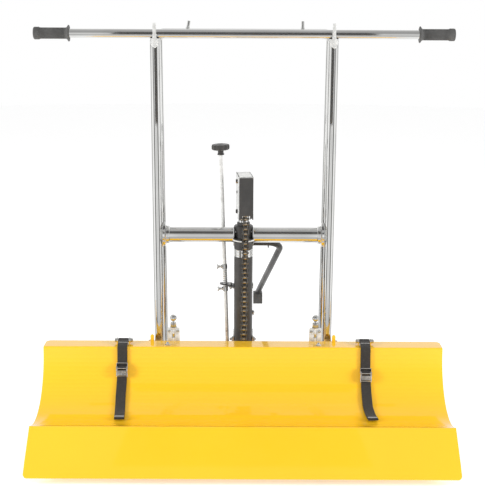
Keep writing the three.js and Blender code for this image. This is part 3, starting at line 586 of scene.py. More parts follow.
CHAIN_STEEL = chain_look("chain_plate_steel", (0.30, 0.29, 0.275), (0.10, 0.094, 0.088))
ROLLER_STEEL = chain_look("chain_roller_steel", (0.62, 0.56, 0.46), (0.34, 0.29, 0.22))
WEBBING = webbing_look("woven_webbing", 1.0)
HEM = webbing_look("sewn_hem", 0.5)
THREAD = thread_look()


# ---- Masts, hoop, handlebar and grips ----

def mirrored(half, x):
    """A whole outline about x from its right half; a point in the middle is not repeated."""
    return [(x + a, z) for a, z in half] + [(x - a, z) for a, z in reversed(half) if a]


def masts():
    r, top, tie_z = MAST["radius"], MAST["top"], MAST["tie_z"]
    lean = (HOOP["foot_y"] - HOOP["top_y"]) / (HOOP["top_z"] - HOOP["foot_z"])
    tie_y = HOOP["top_y"] + (HOOP["top_z"] - tie_z) * lean
    for name, side in SIDES.items():
        x = side * MAST["x"]
        low, high = span(f"mast_{name}")
        shells = [upright(pipe, x, 0, low.z, top, r, r - MAST["wall"]),
                  rod((x, r - 1, tie_z), (x, tie_y - r - 1.2, tie_z), 8)]
        stand_in(f"mast_{name}", shells, CHROME, bevel=0.9)
        peg = mirrored([(4, high.z), (4.2, 1012), (5.4, 1001), (7.6, 994), (7.2, 989.6), (4, 983.6),
                        (0, 980)], x)
        seam = [(5.6, 1000), (7.6, 995.6), (7.4, 990.8), (5, 984.8), (1, 980.6), (-3.5, 983), (-7, 989),
                (-7.6, 994.4), (-5.8, 1000)]
        fittings = [
            swept([(x + dx, -r - 2.4, z) for dx, z in seam], 2.1, 10,
                  lumps=lambda i: 1 + 0.22 * math.sin(i * 2.3)),
            weld((x, r + 1.2, tie_z), X, Z, 8.3, 1.6, 18),
            weld((x, 0, 1000.2), X, Y, r - 0.6, 1.2, 26),
            prism(peg, -r - 4.3, -r + 1.2, "y"),
        ]
        extra(f"mast_pegs_{name}", "frame", fittings, WHITE_ZINC, bevel=0.9)


def rear_hoop():
    foot = span("rear_hoop")[0].z + 1.4
    x, top_y, foot_y, top_z = MAST["x"], HOOP["top_y"], HOOP["foot_y"], HOOP["top_z"]
    corners = [(-x, foot_y, foot), (-x, top_y, top_z), (x, top_y, top_z), (x, foot_y, foot)]
    shells = [swept(bent(corners, HOOP["bend"], 14), MAST["radius"], 64)]
    shells += [rod((a, top_y, 1022), (b, top_y, 1043), 4) for a, b in ((-143, -139), (147, 147))]
    stand_in("rear_hoop", shells, CHROME)
    beads = [weld((end * x, foot_y - 0.1, foot + 0.4), X, Y, MAST["radius"] + 0.6, 1.8, 30) for end in ENDS]
    beads += [weld((peg, top_y, 1026.2), X, Y, 4.4, 1.3, 12) for peg in (-142.4, 147)]
    extra("hoop_welds", "frame", beads, CHROME)


def handlebar():
    low, high = span("handlebar")
    stand_in("handlebar", [level(pipe, low.x, high.x, 0, BAR["z"], BAR["radius"], BAR["bore"])], CHROME)
    bore, ribs = 11.4, 24
    for name, side in SIDES.items():
        low, high = span(f"grip_{name}")
        inner = low.x if side > 0 else high.x
        length = high.x - low.x
        profile = [(bore, 0), (19.6, 0), (20, 0.6), (20, 1.6), (18.6, 3), (15.4, 4.6), (14, 7), (13.6, 9)]
        profile += [(13.6, 10 + i * (length - 28) / ribs, 0.9) for i in range(ribs + 1)]
        profile += [(13.8, length - 15.5), (15, length - 13.5), (15.2, length - 12), (15.2, length - 3),
                    (14.6, length - 1), (13, length), (5, length), (4, length - 0.8), (0, length - 0.8),
                    (0, length - 3), (bore, length - 3), (bore, 0)]
        grip = lathe(profile, (inner, 0, BAR["z"]), X * side, 160, flutes=40)
        stand_in(f"grip_{name}", [grip], RUBBER, sharp=50)


def cross_tube():
    z, r, y = CROSS["z"], CROSS["radius"], COLUMN["y"]
    end = MAST["x"] - MAST["radius"] - GAP
    plate = arc((0, z), 17, 0, 352.5, 47, 31 / 17)
    shells, beads = [], []
    for side in SIDES.values():
        shells += [level(pipe, side * CROSS["start"], side * end, 0, z, r, CROSS["bore"], 72),
                   level(rod, side * 25.5, side * 29, 0, z, r - 2, 48, 0.3),
                   level(rod, side * (end - 18), side * (end - 8), 0, z, r + 3, 72, 1.4),
                   prism(plate, *beside(side, end - 7, end), "x")]
        beads += [weld((side * (end - 7.4), 0, z), Y, Z, r + 1.4, 2.2, 40),
                  weld((side * (end + 0.2), 0, z), Y, Z, 16.4, 1.9, 52, squash=(0.88, 1.84))]
    stand_in("cross_tube", shells, CHROME, bevel=0.6)
    ring = [arc_band((0, y), 33, 25, z - 14, z - 11, start, end) for start, end in ((-76, 62), (118, 256))]
    for side in SIDES.values():
        path = []
        for i in range(17):
            t = math.radians(4 + 5 * i)
            depth = min(y - 34 * math.sin(t), y - r - 1.5)
            path.append((side * 35 * math.cos(t), depth, z - 12.6 + 10 * (1 - i / 16) ** 2))
        ring.append(swept(path, 1.9, 12))
    extra("saddle_ring", "frame", ring, WHITE_ZINC, bevel=0.5)
    # Painted shadow: a thin black band just above the saddle ring stands in for the shade under the upper
    # collar's bottom edge.
    lip = [arc_band((0, y), 31, 25, z - 11, z - 7.6, start, end) for start, end in ((212, 256), (284, 328))]
    extra("collar_shadow_band", "frame", lip, BLACK)
    extra("cross_tube_welds", "frame", beads, CHROME)


# ---- Base, wheels and casters ----

def side_rails():
    z, r, top = RAIL["z"], RAIL["radius"], RAIL["plate_top"]
    front_y, front_r, half = -275, 35, 13
    cheek = [(-206, 50), (-206, 70), (front_y, 50), (front_y - 10, 46), (front_y - 14, 35),
             (front_y - 9, 25), (front_y, 21), (front_y + 14, 30)]
    for name, side in SIDES.items():
        x = side * MAST["x"]
        shells = [pipe((x, -236, z), (x, 98, z), r, RAIL["bore"]), rod((x, 94, z), (x, 98, z), r - 1, 48),
                  block((x - half - 1, x + half + 1), (-236, -216), (z - 8, z + 8)),
                  level(rod, x - half - 7, x + half + 7, front_y, front_r, 6),
                  block((x - 32, x + 32), (60, CASTER["y"] + 40), (top - 6, top)),
                  block((x - 4, x + 4), (60, 98), (72, 126))]
        for end in ENDS:
            shells.append(prism(cheek, *beside(end, half, half + 4, x), "x"))
            shells.append(level(hexagon, x + end * (half + 4), x + end * (half + 7), front_y, front_r, 15))
        stand_in(f"side_rail_{name}", shells, CHROME, bevel=0.8)
        bolts = [shell for dx in (-24, 24) for y in (CASTER["y"] - 26, CASTER["y"] + 28)
                 for shell in dome_nut((x + dx, y, top), Z, 9)]
        extra(f"caster_bolts_{name}", "frame", bolts, ZINC)
        beads = [weld((x, 0, z + 15.6), X, Y, MAST["radius"] + 1, 2, 30),
                 weld((x, 97.6, z), X, Z, 14, 1.4, 30)]
        extra(f"rail_welds_{name}", "frame", beads, CHROME)


def base_crossbar():
    y, z, r = COLUMN["y"], RAIL["z"], RAIL["radius"]
    end = MAST["x"] - r - GAP
    plate_top = 81.7
    shells = [level(pipe, -end, end, y, z, r, RAIL["bore"]),
              block((-48, 48), (y - 36, y + 52), (72, plate_top)), level(rod, -50, 50, y, z, r - 1)]
    stand_in("base_crossbar", shells, CHROME, bevel=0.9)
    bolts = [shell for x in (-38, 38) for dy in (-26, 42)
             for shell in dome_nut((x, y + dy, plate_top), Z, 10)]
    extra("base_bolts", "frame", bolts, ZINC)
    beads = [weld((side * end, y, z), Y, Z, r, 1.8, 32) for side in SIDES.values()]
    extra("crossbar_welds", "frame", beads, CHROME)


def wheel_shell(centre, radius, width, bore):
    """A tyre with three grooves on a dished hub."""
    x, y, z = centre
    hub, rim = radius * 0.42, radius * 0.74
    groove = [(radius, -0.9), (radius - 1.2, -0.75), (radius - 1.2, 0.75), (radius, 0.9)]
    tread = [(radius - 3, 0), (radius - 1.2, 0.9), (radius - 0.2, 2.6), (radius, 4)]
    for share in (0.3, 0.5, 0.7):
        tread += [(r, width * share + dx) for r, dx in groove]
    tread += [(r, width - dx) for r, dx in tread[3::-1]]
    face = [(hub - 1, 0), (hub, 0.8), (hub + 1, 2.2), (rim - 2, 3.2), (rim, 2.4), (rim + 1, 0.6)]
    profile = [(bore, 0)] + face + tread + [(r, width - t) for r, t in reversed(face)]
    return lathe(profile + [(bore, width), (bore, 0)], (x - width / 2, y, z), X, 96)


def wheels():
    axle = 6
    for name in SIDES:
        for kind in ("front_wheel", "caster_wheel"):
            node = f"{kind}_{name}"
            low, high = span(node)
            x, y, z = centre = (low + high) / 2
            radius, width = (high.z - low.z) / 2, high.x - low.x
            stand_in(node, [wheel_shell(centre, radius, width, axle + 0.1)], TREAD)
            bearings = [level(pipe, x + end * (width / 2 - 0.6), x + end * (width / 2 + 0.2), y, z,
                              radius * 0.34, axle + 0.2, 40) for end in ENDS]
            extra(f"{kind}_bearing_{name}", BODY_OF[node], bearings, ZINC)


def caster_forks():
    swivel_y, z, half, face = CASTER["y"], CASTER["axle_z"], 16, 19.5
    y = swivel_y + CASTER["trail"]
    top = RAIL["plate_top"] - 6 - GAP
    race = [(0, -11), (21, -11), (23, -9.6), (24, -7.5), (24, -6), (22.6, -5.4), (22.6, -4.6), (24, -4),
            (24, -1.5), (23, 0), (0, 0)]
    crown = [(swivel_y - 18, 104), (y + 10, 104), (y + 10, 112.7), (swivel_y - 18, 114.7)]
    leg = [(y - 12, z + 4), (y - 10, z - 8), (y - 4, z - 11.4), (y + 4, z - 11.4), (y + 10, z - 7),
           (y + 12, z), (y + 11, 92), (y + 8, 110), (y, 113.7), (swivel_y - 12, 113.7),
           (swivel_y - 14, 106), (swivel_y - 4, 90)]
    for name, side in SIDES.items():
        x = side * MAST["x"]
        shells = [lathe(race, (x, swivel_y, top), Z, 64), prism(crown, x - half - 3.4, x + half + 3.4, "x"),
                  level(rod, x - half - 8, x + half + 8, y, z, 6)]
        for end in ENDS:
            shells.append(prism(leg, *beside(end, half, face, x), "x"))
            shells.append(level(hexagon, x + end * face, x + end * (face + 4.3), y, z, 13))
        stand_in(f"caster_fork_{name}", shells, ZINC, bevel=0.8)


# ---- Hydraulic column ----

def column():
    y, r, bore = COLUMN["y"], COLUMN["radius"], 14.6
    centre = (0, y, 0)
    barrel = [(0, 82), (r - 0.6, 82), (r, 83), (r, 449.6), (r - 0.8, 450.7), (18, 450.7), (18, 92), (0, 92)]
    stand_in("cylinder_barrel", [lathe(barrel, centre, Z, 96)], BLACK)
    extra("barrel_foot_weld", "frame", [weld((0, y, 83), X, Y, r + 0.8, 2.2, 60)], BLACK)
    crest, root = r + 0.3, r - 0.9
    band = [(bore, 451), (r - 0.6, 451), (crest, 452), (crest, 456.4), (root, 457), (root, 458),
            (crest, 458.6), (crest, 464.6), (root, 465.2), (root, 466), (crest, 466.6), (crest, 470),
            (r - 0.6, 471), (bore, 471), (bore, 451)]
    stand_in("gland_band", [lathe(band, centre, Z, 96)], CHROME)
    lower = [(bore, 471.3), (r - 0.8, 471.3), (r, 472.2), (r, 494), (r - 0.8, 495), (bore, 495),
             (bore, 471.3)]
    stand_in("lower_collar", [lathe(lower, centre, Z, 96)], BLACK)
    upper = [(bore, 495.3), (24.4, 495.3), (24.6, 502), (24.6, 530.4), (22.6, 532.8), (17.6, 533.8),
             (16.8, 535.4), (16.6, 540.4), (15.8, 541.3), (bore, 541.3), (bore, 495.3)]
    stand_in("upper_collar", [lathe(upper, centre, Z, 96)], BLACK)
    outward = [Vector((math.cos(t), math.sin(t), 0)) for t in map(math.radians, (-145, -35, 35, 145))]
    screws = [cap_screw(Vector((0, y, 518)) + way * 24.5, way, 2.4, 1.8) for way in outward]
    extra("collar_set_screws", "frame", screws, ZINC)
    ports = [level(rod, 23, 29.5, y, 300, 4.4, 32), level(hexagon, 24, 27, y, 300, 10),
             level(rod, 25, 28, y, 293.4, 2.2, 24)]
    extra("oil_port", "frame", ports, ZINC)
    ram = [(0, 100), (17, 100), (17, 124), (14, 126), (14, 547), (15.4, 549), (16, 550), (16, 562.7),
           (0, 562.7)]
    stand_in("ram_rod", [lathe(ram, centre, Z, 96)], CHROME)


def barrel_clamp():
    y, z, half = COLUMN["y"], 226, 26.5
    cheek = [(y - 9, z - 7), (y - 6, z - 10), (y + 55, z - 10), (y + 55, z + 10), (y - 6, z + 10),
             (y - 9, z + 7)]
    shells = [block((-half, half), (y + 52, y + 55), (z - 10, z + 10))]
    for end in ENDS:
        shells += [prism(cheek, *beside(end, COLUMN["radius"] + GAP, half), "x"),
                   level(hexagon, end * half, end * 30.4, y, z, 13),
                   level(rod, end * 26.2, end * 27.4, y, z, 8.6, 40, 0.3)]
    stand_in("barrel_clamp", shells, ZINC, bevel=0.5)
    tip = [(0, 0), *thread(9, 3.9, 3.3), (3, 9.2), (0, 9.2)]
    extra("clamp_bolt_tip", "frame", [lathe(tip, (-26, y, z), -X, 32), ball((29.6, y, z), 4.6)], ZINC)


def head_place():
    return Matrix.Translation((HEAD["x"], COLUMN["y"], 0)) @ Matrix.Rotation(HEAD["yaw"], 4, "Z")


def head_case():
    place = head_place()
    low, high, w, d, wall = (HEAD[key] for key in ("bottom", "top", "half_width", "half_depth", "wall"))
    skirt = low - 7
    side_plate = [(-d, high - 4), (-d + 4, high), (d - 4, high), (d, high - 4), (d, low + 2), (d - 3, low),
                  (18, low), (-d + 14, skirt), (-d, skirt)]
    cover = [prism(side_plate, *beside(end, w - wall, w), "x") for end in ENDS]
    cover.append(block((-w, w), (-d, d), (high - wall, high)))
    stand_in("head_case", cover, SILVER, place, bevel=0.7)
    inner = w - wall + 0.2
    teeth = [(-w, skirt - 1.5), (-w, low + 8), (w, low + 8), (w, skirt - 1.5), (w - 1.6, skirt - 1.5),
             (w - 4, skirt + 2.5), (9.8, skirt - 0.5), (9.8, low + 3), (-9.8, low + 3), (-9.8, skirt),
             (-12.5, skirt + 1.5)]
    walls = [prism(teeth, -d - 0.4, -d + wall, "y"),
             block((-inner, inner), (d - wall, d + 0.5), (low, high - wall)),
             block((-inner, inner), (-d, -d + wall), (low + 6, high - wall)),
             rounded_plate((-w + 0.4, w - 0.4), (low + 2, high - 4), (-d - 0.9, -d - 0.2), 1.5),
             block((-9, 9), (-20, 20), (low, low + 6))]
    extra("head_walls", "ram", walls, BLACK, place, bevel=0.4)
    bolts = [level(hexagon, end * w, end * (w + 3.4), 12, z, 10)
             for end in ENDS for z in (high - 19, low + 4)]
    bolts += [cap_screw((end * w, 12, HEAD["axle_z"]), X * end, 3.6, 1.6) for end in ENDS]
    extra("head_bolts", "ram", bolts, CHAIN_STEEL, place)


# ---- Roller chain ----

def link_plate(centre, along, low, high):
    """A waisted chain plate between two pins, in the plane square to X."""
    r, half = CHAIN["plate"], CHAIN["pitch"] / 2
    across = X.cross(along)
    lobe = arc((half, 0), r, -75, 75, 8) + [(0, r * 0.66)]
    outline = lobe + [(-a, -b) for a, b in lobe]
    flat = Vector((0, centre.y, centre.z))
    return capped([flat + X * at + along * a + across * b for at in (low, high) for a, b in outline])


def chain_shells(pins):
    """Pins and alternate inner and outer plates through a row of pin centres."""
    half = CHAIN["width"] / 2
    shells = [level(rod, p.x - half, p.x + half, p.y, p.z, CHAIN["pin"], 14, 0.4) for p in pins]
    for i, (a, b) in enumerate(zip(pins, pins[1:])):
        mid = (a + b) / 2
        along = Vector((0, b.y - a.y, b.z - a.z)).normalized()
        inset = 4.1 if i % 2 else 5.8
        shells += [link_plate(mid, along, *beside(end, inset, inset + 1.5, mid.x)) for end in ENDS]
    return shells


def chain_rollers(name, pins, place=None):
    rollers = [level(rod, p.x - 3.9, p.x + 3.9, p.y, p.z, CHAIN["roller"], 28, 0.5) for p in pins]
    return extra(f"{name}_rollers", "ram", rollers, ROLLER_STEEL, place)


def chains():
    pitch, lean = CHAIN["pitch"], PITCH_RADIUS * math.sin(HEAD["yaw"])
    low, high = span("chain_front")
    start, end = Vector((1, CHAIN_Y, low.z + 6)), Vector((HEAD["x"] + lean, CHAIN_Y, high.z))
    length = end.z - start.z
    pins = [end.lerp(start, (i + 0.5) * pitch / length) for i in range(int(length / pitch))]
    for piece in (stand_in("chain_front", chain_shells(pins), CHAIN_STEEL),
                  chain_rollers("chain_front", pins)):
        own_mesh(piece)
    low, high = span("chain_rear")
    rear = (HEAD["x"] - lean, 2 * COLUMN["y"] - CHAIN_Y)
    count = int((high.z - low.z - 12) / pitch) + 1
    pins = [Vector((*rear, high.z - (i + 0.5) * pitch)) for i in range(count)]
    stand_in("chain_rear", chain_shells(pins), CHAIN_STEEL)
    chain_rollers("chain_rear", pins)
    axle_z = HEAD["axle_z"]
    drops = [axle_z - pitch * (i + 1) for i in range(int((axle_z - 566) / pitch))]
    turn = [Vector((0, -PITCH_RADIUS, z)) for z in reversed(drops)]
    turn += [Vector((0, y, z)) for y, z in arc((0, axle_z), PITCH_RADIUS, 180, 0, CHAIN["teeth"] // 2)]
    turn += [Vector((0, PITCH_RADIUS, z)) for z in drops]
    extra("chain_wrap", "ram", chain_shells(turn), CHAIN_STEEL, head_place())
    chain_rollers("chain_wrap", turn, head_place())


def sprocket():
    outline, steps = [], 10
    for i in range(CHAIN["teeth"] * steps):
        depth = 0.5 - 0.5 * math.cos(2 * math.pi * i / steps)
        r = PITCH_RADIUS - 4.2 + 7.4 * depth ** 1.6
        t = 2 * math.pi * i / (CHAIN["teeth"] * steps)
        outline.append((r * math.cos(t), HEAD["axle_z"] + r * math.sin(t)))
    hub = [(8.2, -12), (16.4, -12), (17, -11.2), (17, 11.2), (16.4, 12), (8.2, 12), (8.2, -12)]
    shells = [prism(outline, -3.4, 3.4, "x"), lathe(hub, (0, 0, HEAD["axle_z"]), X, 64)]
    stand_in("sprocket", shells, ZINC, head_place(), bevel=0.3)


# ---- Foot pump ----

def foot_pump():
    low, high = span("pump_block")
    stand_in("pump_block", [block(*zip(low, high))], BLACK, bevel=2.2)
    fittings = dome_nut((low.x, 80, 350), -X, 12) + [level(hexagon, high.x, high.x + 5, 80, 352, 14)]
    fittings += [cap_screw((x, high.y, z), Y, 3.6, 3)
                 for x in (-14, 14) for z in (low.z + 10, high.z - 10)]
    fittings.append(upright(pipe, 0, PUMP_Y, high.z, high.z + 4, 10.5, 7.3, 48))
    extra("pump_fittings", "frame", fittings, ZINC)
    stem = [(0, 360), (6, 360), (7, 361), (7, 452), (9.4, 452), (10, 452.6), (10, 456.6), (8.8, 458),
            (0, 458)]
    stand_in("pump_plunger", [lathe(stem, (0, PUMP_Y, 0), Z, 48)], CHROME)
    cheek = [(44, 402), (44, 430), (49, 482), (52, 486), (71, 486), (74, 483), (74, 462), (58, 436),
             (57.3, 402)]
    shells = [prism(cheek, *beside(end, 20.3, 24), "x") for end in ENDS]
    stand_in("pedal_bracket", shells + [block((-24, 24), (54.3, 57.3), (402, 430))], BLACK, bevel=0.5)
    extra("bracket_bolts", "frame", [cap_screw((x, 57.3, 416), Y, 3.4, 3) for x in (-13, 13)], ZINC)
    low, high = span("chain_guard")
    channel = [(low.x, low.y), (low.x, high.y), (high.x, high.y), (high.x, low.y), (high.x - 3, low.y),
               (high.x - 3, high.y - 3), (low.x + 3, high.y - 3), (low.x + 3, low.y)]
    stand_in("chain_guard", [prism(channel, low.z, high.z, "z")], BLACK, bevel=0.8)


def foot_pedal():
    y, z, r = PEDAL["y"], PEDAL["z"], PEDAL["radius"]
    pad_top = Vector((43, 335, 262))
    route = bent([(-24, y, z), (103, y, z), pad_top], PEDAL["bend"], 18)
    finger = [(y, z - 5), (y + 34, z - 14.5), (y + 35.5, z - 11), (y + 34, z - 7), (y, z + 6)]
    tab = [(y - 3, z), (y + 3, z), (y + 2.4, z - 12), (y, z - 14), (y - 2.4, z - 12)]
    shells = [swept(route, r, 40), prism(finger, -6, 6, "x"), prism(tab, 64, 67, "x"),
              rod(pad_top, (43, 349, 246), r, 40), block((34, 52), (337, 362), (236, 253))]
    stand_in("pedal", shells, BLACK, bevel=0.5)
    caps = [level(rod, -24.3, -26.5, y, z, 9.4, 40, 0.6), level(rod, 24.6, 26.4, y, z, 10.2, 40, 0.5)]
    extra("pedal_washers", "pedal", caps, ZINC)
    low, high = span("pedal_pad")
    ribs = 7
    step = (high.z - low.z) / ribs
    edge = [(depth, low.z + (i + share) * step) for i in range(ribs)
            for depth, share in ((0.9, 0.08), (0, 0.2), (0, 0.8), (0.9, 0.92))]
    outline = [(high.y - depth, z) for depth, z in edge]
    outline += [(low.y + depth, z) for depth, z in reversed(edge)]
    stand_in("pedal_pad", [prism(outline, low.x + 0.6, high.x - 0.6, "x")], RUBBER, bevel=0.35)


# ---- Release rod ----

def release_place():
    shift = Matrix.Translation((RELEASE["x"], RELEASE["y"], RELEASE["z"]))
    return shift @ Matrix.Rotation(-RELEASE["lean"], 4, "Y")


def release_rod():
    place, r = release_place(), RELEASE["radius"]
    stand_in("release_rod", [upright(rod, 0, 0, -605, 20, r)], WHITE_ZINC, place)
    wheel = [(0, 12.4), (17, 12.4), (20, 13), (22.6, 14.6, 1.6), (23.5, 17, 2.6), (23.5, 23, 2.6),
             (22.4, 26, 1.8), (19, 27, 0.6), (9, 27), (8, 26.2), (0, 26)]
    hub = [(4.7, 0), (8.6, 0), (9, 0.6), (9, 2.6), (7.4, 3.6), (7.4, 10.4), (9, 12.6), (9, 14), (4.7, 14),
           (4.7, 0)]
    knob = [lathe(wheel, (0, 0, 0), Z, 144, flutes=12), lathe(hub, (0, 0, 0), Z, 64)]
    stand_in("release_knob", knob, BLACK, place, sharp=40)
    bore = r + 0.1
    ring = [(bore, -6.6), (6.2, -6.6), (6.8, -6), (6.8, 6), (6.2, 6.6), (bore, 6.6), (bore, -6.6)]
    boss = [(0, 0), (4.4, 0), (4.4, 3.4), (3.8, 4.2), (0, 4.2)]
    shank = [(0, 0), *((radius, height + 0.1) for radius, height in thread(6, 2.1, 1.7)), (1.9, 6.4),
             (3.4, 6.6), (3.4, 8.4), (2.2, 9), (2.2, 12.4), (0, 12.6)]
    edge = [(-11.5, 1.6), (-14.5, 2.6), (-17.6, 5.6), (-19.6, 6.2), (-21, 5), (-20.8, 3)]
    for name, z in THUMB_COLLARS.items():
        collar = [lathe(ring, (0, 0, z), Z, 48), lathe(boss, (-6, 0, z), -X, 32)]
        stand_in(f"thumb_collar_{name}", collar, ZINC, place)
        wing = [(x, z - dz) for x, dz in edge] + [(-18.8, z)] + [(x, z + dz) for x, dz in reversed(edge)]
        screw = [lathe(shank, (-r - 0.6, 0, z), -X, 24), prism(wing, -1.6, 1.6, "y")]
        stand_in(f"thumb_screw_{name}", screw, ZINC, place, bevel=0.7)


def release_spring():
    low, high = span("release_spring")
    foot = (low.z + 0.6 - RELEASE["z"]) / math.cos(RELEASE["lean"])
    top = THUMB_COLLARS["upper"] - 7.6
    turns, steps = 7.5, 30
    count = int(turns * steps)
    circle = arc((0, 0), 5.5, 0, 360 * turns, count)
    coil = [(x, y, foot + (top - foot) * i / count) for i, (x, y) in enumerate(circle)]
    piece = stand_in("release_spring", [swept(coil, 1.0, 10)], SILVER, release_place())
    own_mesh(piece)


def rod_bracket():
    z, thick, x, y = 368.5, 2.5, -33, 18
    top = z + thick
    outline = arc((0, COLUMN["y"]), COLUMN["radius"] + GAP, 200, 134, 11)
    outline += [(-18, 24), (-33, 41), (-37, 43.4), (-55, 44.6), (-60, 42), (-62, 36), (-60.6, 27),
                (-57, 23.6), (-40, 8), (-30, -1)]
    stand_in("rod_bracket", [prism(outline, z, top, "z")], BLACK, bevel=0.4)
    bolt = [upright(rod, x, y, z - 10, z + 9, 2.5, 24), upright(hexagon, x, y, z, z - 5, 8),
            upright(hexagon, x, y, top, top + 5, 8), upright(rod, x, y, top, top + 0.9, 6, 32, 0.2)]
    extra("rod_bracket_bolt", "frame", bolt, ZINC)


# ---- Tray ----

def trough(radius, degrees):
    t = math.radians(degrees)
    return TRAY_AXIS + Vector((math.cos(t), -math.sin(t))) * radius


def tray_profile():
    """Stations of the tray's upper face from the flange to the foot, in Y and Z."""
    bend, radius, presses = TRAY["bend"], TRAY["radius"], TRAY["presses"]
    rear, top = TRAY["flange_y"], TRAY["flange_z"]
    points = [Vector((rear - d, top)) for d in (0, 0.6, 1.6, 3.2, 5.4, 8.4, 12, 24)]
    points += map(Vector, arc((TRAY["wall_y"] + bend, top - bend), bend, 90, 180, 8))
    rib = [trough(radius, 3 + (TRAY["lip"] - 3) * i / presses) for i in range(presses + 1)]
    points.append(rib[0])
    for before, corner, after in zip(rib, rib[1:], rib[2:]):
        points += [corner + (before - corner).normalized() * 0.9,
                   corner + (after - corner).normalized() * 0.9]
    lip, foot = rib[-1], Vector(TRAY["foot"])
    length = (foot - lip).length
    slope = (foot - lip) / length
    corner = [Vector((0, *p)) for p in (rib[-2], lip, foot)]
    points += [p.yz for p in bent(corner, bend, 8)[1:-1]]
    stations = [40, 90] + [length - back for back in (8.6, 6, 3.8, 2, 0.9, 0.2, 0)]
    points += [lip + slope * d for d in stations]
    return points


def tray_half_length(y):
    """Half the tray's length at a depth, drawn in at its rounded corners."""
    half = TRAY["half"]
    corners = ((TRAY["rear_corner"], TRAY["flange_y"], -1), (TRAY["front_corner"], TRAY["foot"][0], 1))
    for corner, edge, sign in corners:
        inside = corner - sign * (y - edge)
        if 0 < inside <= corner:
            return half - corner + math.sqrt(corner ** 2 - inside ** 2)
    return half


def tray_sheet():
    points = tray_profile()
    columns = [i / 32 for i in range(33)]
    last = len(points) - 1
    corners = []
    for offset in (0, TRAY["sheet"]):
        for i, p in enumerate(points):
            along = (points[min(i + 1, last)] - points[max(i - 1, 0)]).normalized()
            under = Vector((-along.y, along.x)) * offset
            under = under if under.y < 0 or abs(under.y) < 1e-6 else -under
            if offset and 8 <= i <= 34:
                under.x = abs(under.x)
            half = tray_half_length(p.x)
            corners += [(half * (2 * c - 1), *(p + under)) for c in columns]
    width = len(columns)
    layer = len(points) * width
    faces = []
    for i in range(last):
        for k in range(width - 1):
            a, b = i * width + k, (i + 1) * width + k
            faces += [(a, a + 1, b + 1, b), (layer + a, layer + b, layer + b + 1, layer + a + 1)]
    rim = [(a, a + width) for k in (0, width - 1) for a in range(k, last * width + k, width)]
    rim += [(a, a + 1) for i in (0, last) for a in range(i * width, i * width + width - 1)]
    return corners, faces + [(a, b, layer + b, layer + a) for a, b in rim]


def tray():
    y, z = STRAP["pin_y"], STRAP["pin_z"]
    lug = [(y - 11, 234), *arc((y, z), 6.2, 180, 0, 16), (y + 11, 234)]
    shells = [tray_sheet()]
    shells += [prism(lug, *beside(end, 14.3, 16.6, strap["x"]), "x")
               for strap in STRAPS.values() for end in ENDS]
    piece = stand_in("tray", shells, YELLOW, bevel=0.55, sharp=40)
    piece.modifiers.new("flat_presses", "WEIGHTED_NORMAL").keep_sharp = True
    bolts = [shell for x in (-193, 193) for shell in dome_nut((x, -72, TRAY["flange_z"]), Z, 8)]
    extra("flange_bolts", "carriage", bolts, CHROME)
    for name, strap in STRAPS.items():
        parts = ((rod, -22.6, 24.5, STRAP["pin"], 32), (hexagon, -17, -22.2, 10), (hexagon, 18, 23, 10),
                 (rod, 16.9, 18, 6.6, 32, 0.2), (rod, -17, -13.6, 6.8, 40, 0.5),
                 (rod, 13.6, 17, 6.8, 40, 0.5))
        shells = [level(shape, strap["x"] + a, strap["x"] + b, y, z, *sizes)
                  for shape, a, b, *sizes in parts]
        stand_in(f"strap_pin_{name}", shells, SILVER)


# ---- Straps and buckles ----

LOOP_STEPS = 32


def strap_path(strap):
    """The strap's middle line from its loop on the pin down to its tail, as points and sideways drift."""
    pin = Vector((STRAP["pin_y"], STRAP["pin_z"]))
    edge = Vector((TRAY["wall_y"], TRAY["flange_z"]))
    reach, top, foot = STRAP["reach"], strap["top"], strap["foot"]
    wrap = STRAP["pin"] + GAP + STRAP["thick"] / 2
    points = [Vector(p) for p in arc(pin, wrap, -164, 158, LOOP_STEPS)]
    points += [pin + Vector(p) for p in ((-8, 2.2), (-17, -1.6))]
    points += [edge + Vector(p) for p in ((5, 4.6), (-1.4, 2.4), (-4.4, -3))]
    points += [trough(reach, degrees) for degrees in (5, 9, top)]
    points += [trough(reach * 0.995, (top * 2 + foot) / 3), trough(reach * 0.995, (top + foot * 2) / 3)]
    rest = 22
    for i in range(rest + 1):
        share = i / rest
        slack = 1.6 * math.sin(share * math.pi * 1.5) ** 2
        points.append(trough(reach - slack, foot + (90 - foot) * share))
    tail = len(points) - rest
    drift = []
    for i in range(len(points)):
        share = ((i - tail) / rest - strap["drift_from"]) / (1 - strap["drift_from"])
        drift.append(strap["drift"] * max(0.0, share) ** 1.25)
    return points, drift


def ribbon(name, points, drift, x, width, thick, look):
    """A closed woven band, crowned in section, and its length in metres."""
    shares = [-0.5, -0.47, -0.36, -0.12, 0.12, 0.36, 0.47, 0.5]
    crown = [0.55, 0.9, 1.0, 0.94, 0.94, 1.0, 0.9, 0.55]
    section = list(zip(shares, crown)) + [(share, -high) for share, high in zip(shares[::-1], crown)]
    last, count = len(points) - 1, len(section)
    corners, weave, length = [], [], 0.0
    for i, p in enumerate(points):
        before, after = max(i - 1, 0), min(i + 1, last)
        run = points[after] - points[before]
        step = run.normalized()
        normal = Vector((-step.y, step.x))
        lean = (drift[after] - drift[before]) / run.length
        if i:
            length += (p - points[i - 1]).length * MM
        for share, high in section:
            place = p - step * (lean * share * width) + normal * (high * thick / 2)
            corners.append((x + drift[i] + share * width, *place))
            weave.append((share * width * MM, length))
    faces = [tuple(range(count)), tuple(range(last * count, (last + 1) * count))]
    for a in range(0, last * count, count):
        b = a + count
        faces += [(a + k, a + (k + 1) % count, b + (k + 1) % count, b + k) for k in range(count)]
    piece = extra(name, "carriage", [(corners, faces)], look, sharp=50, weave=weave)
    return piece, length


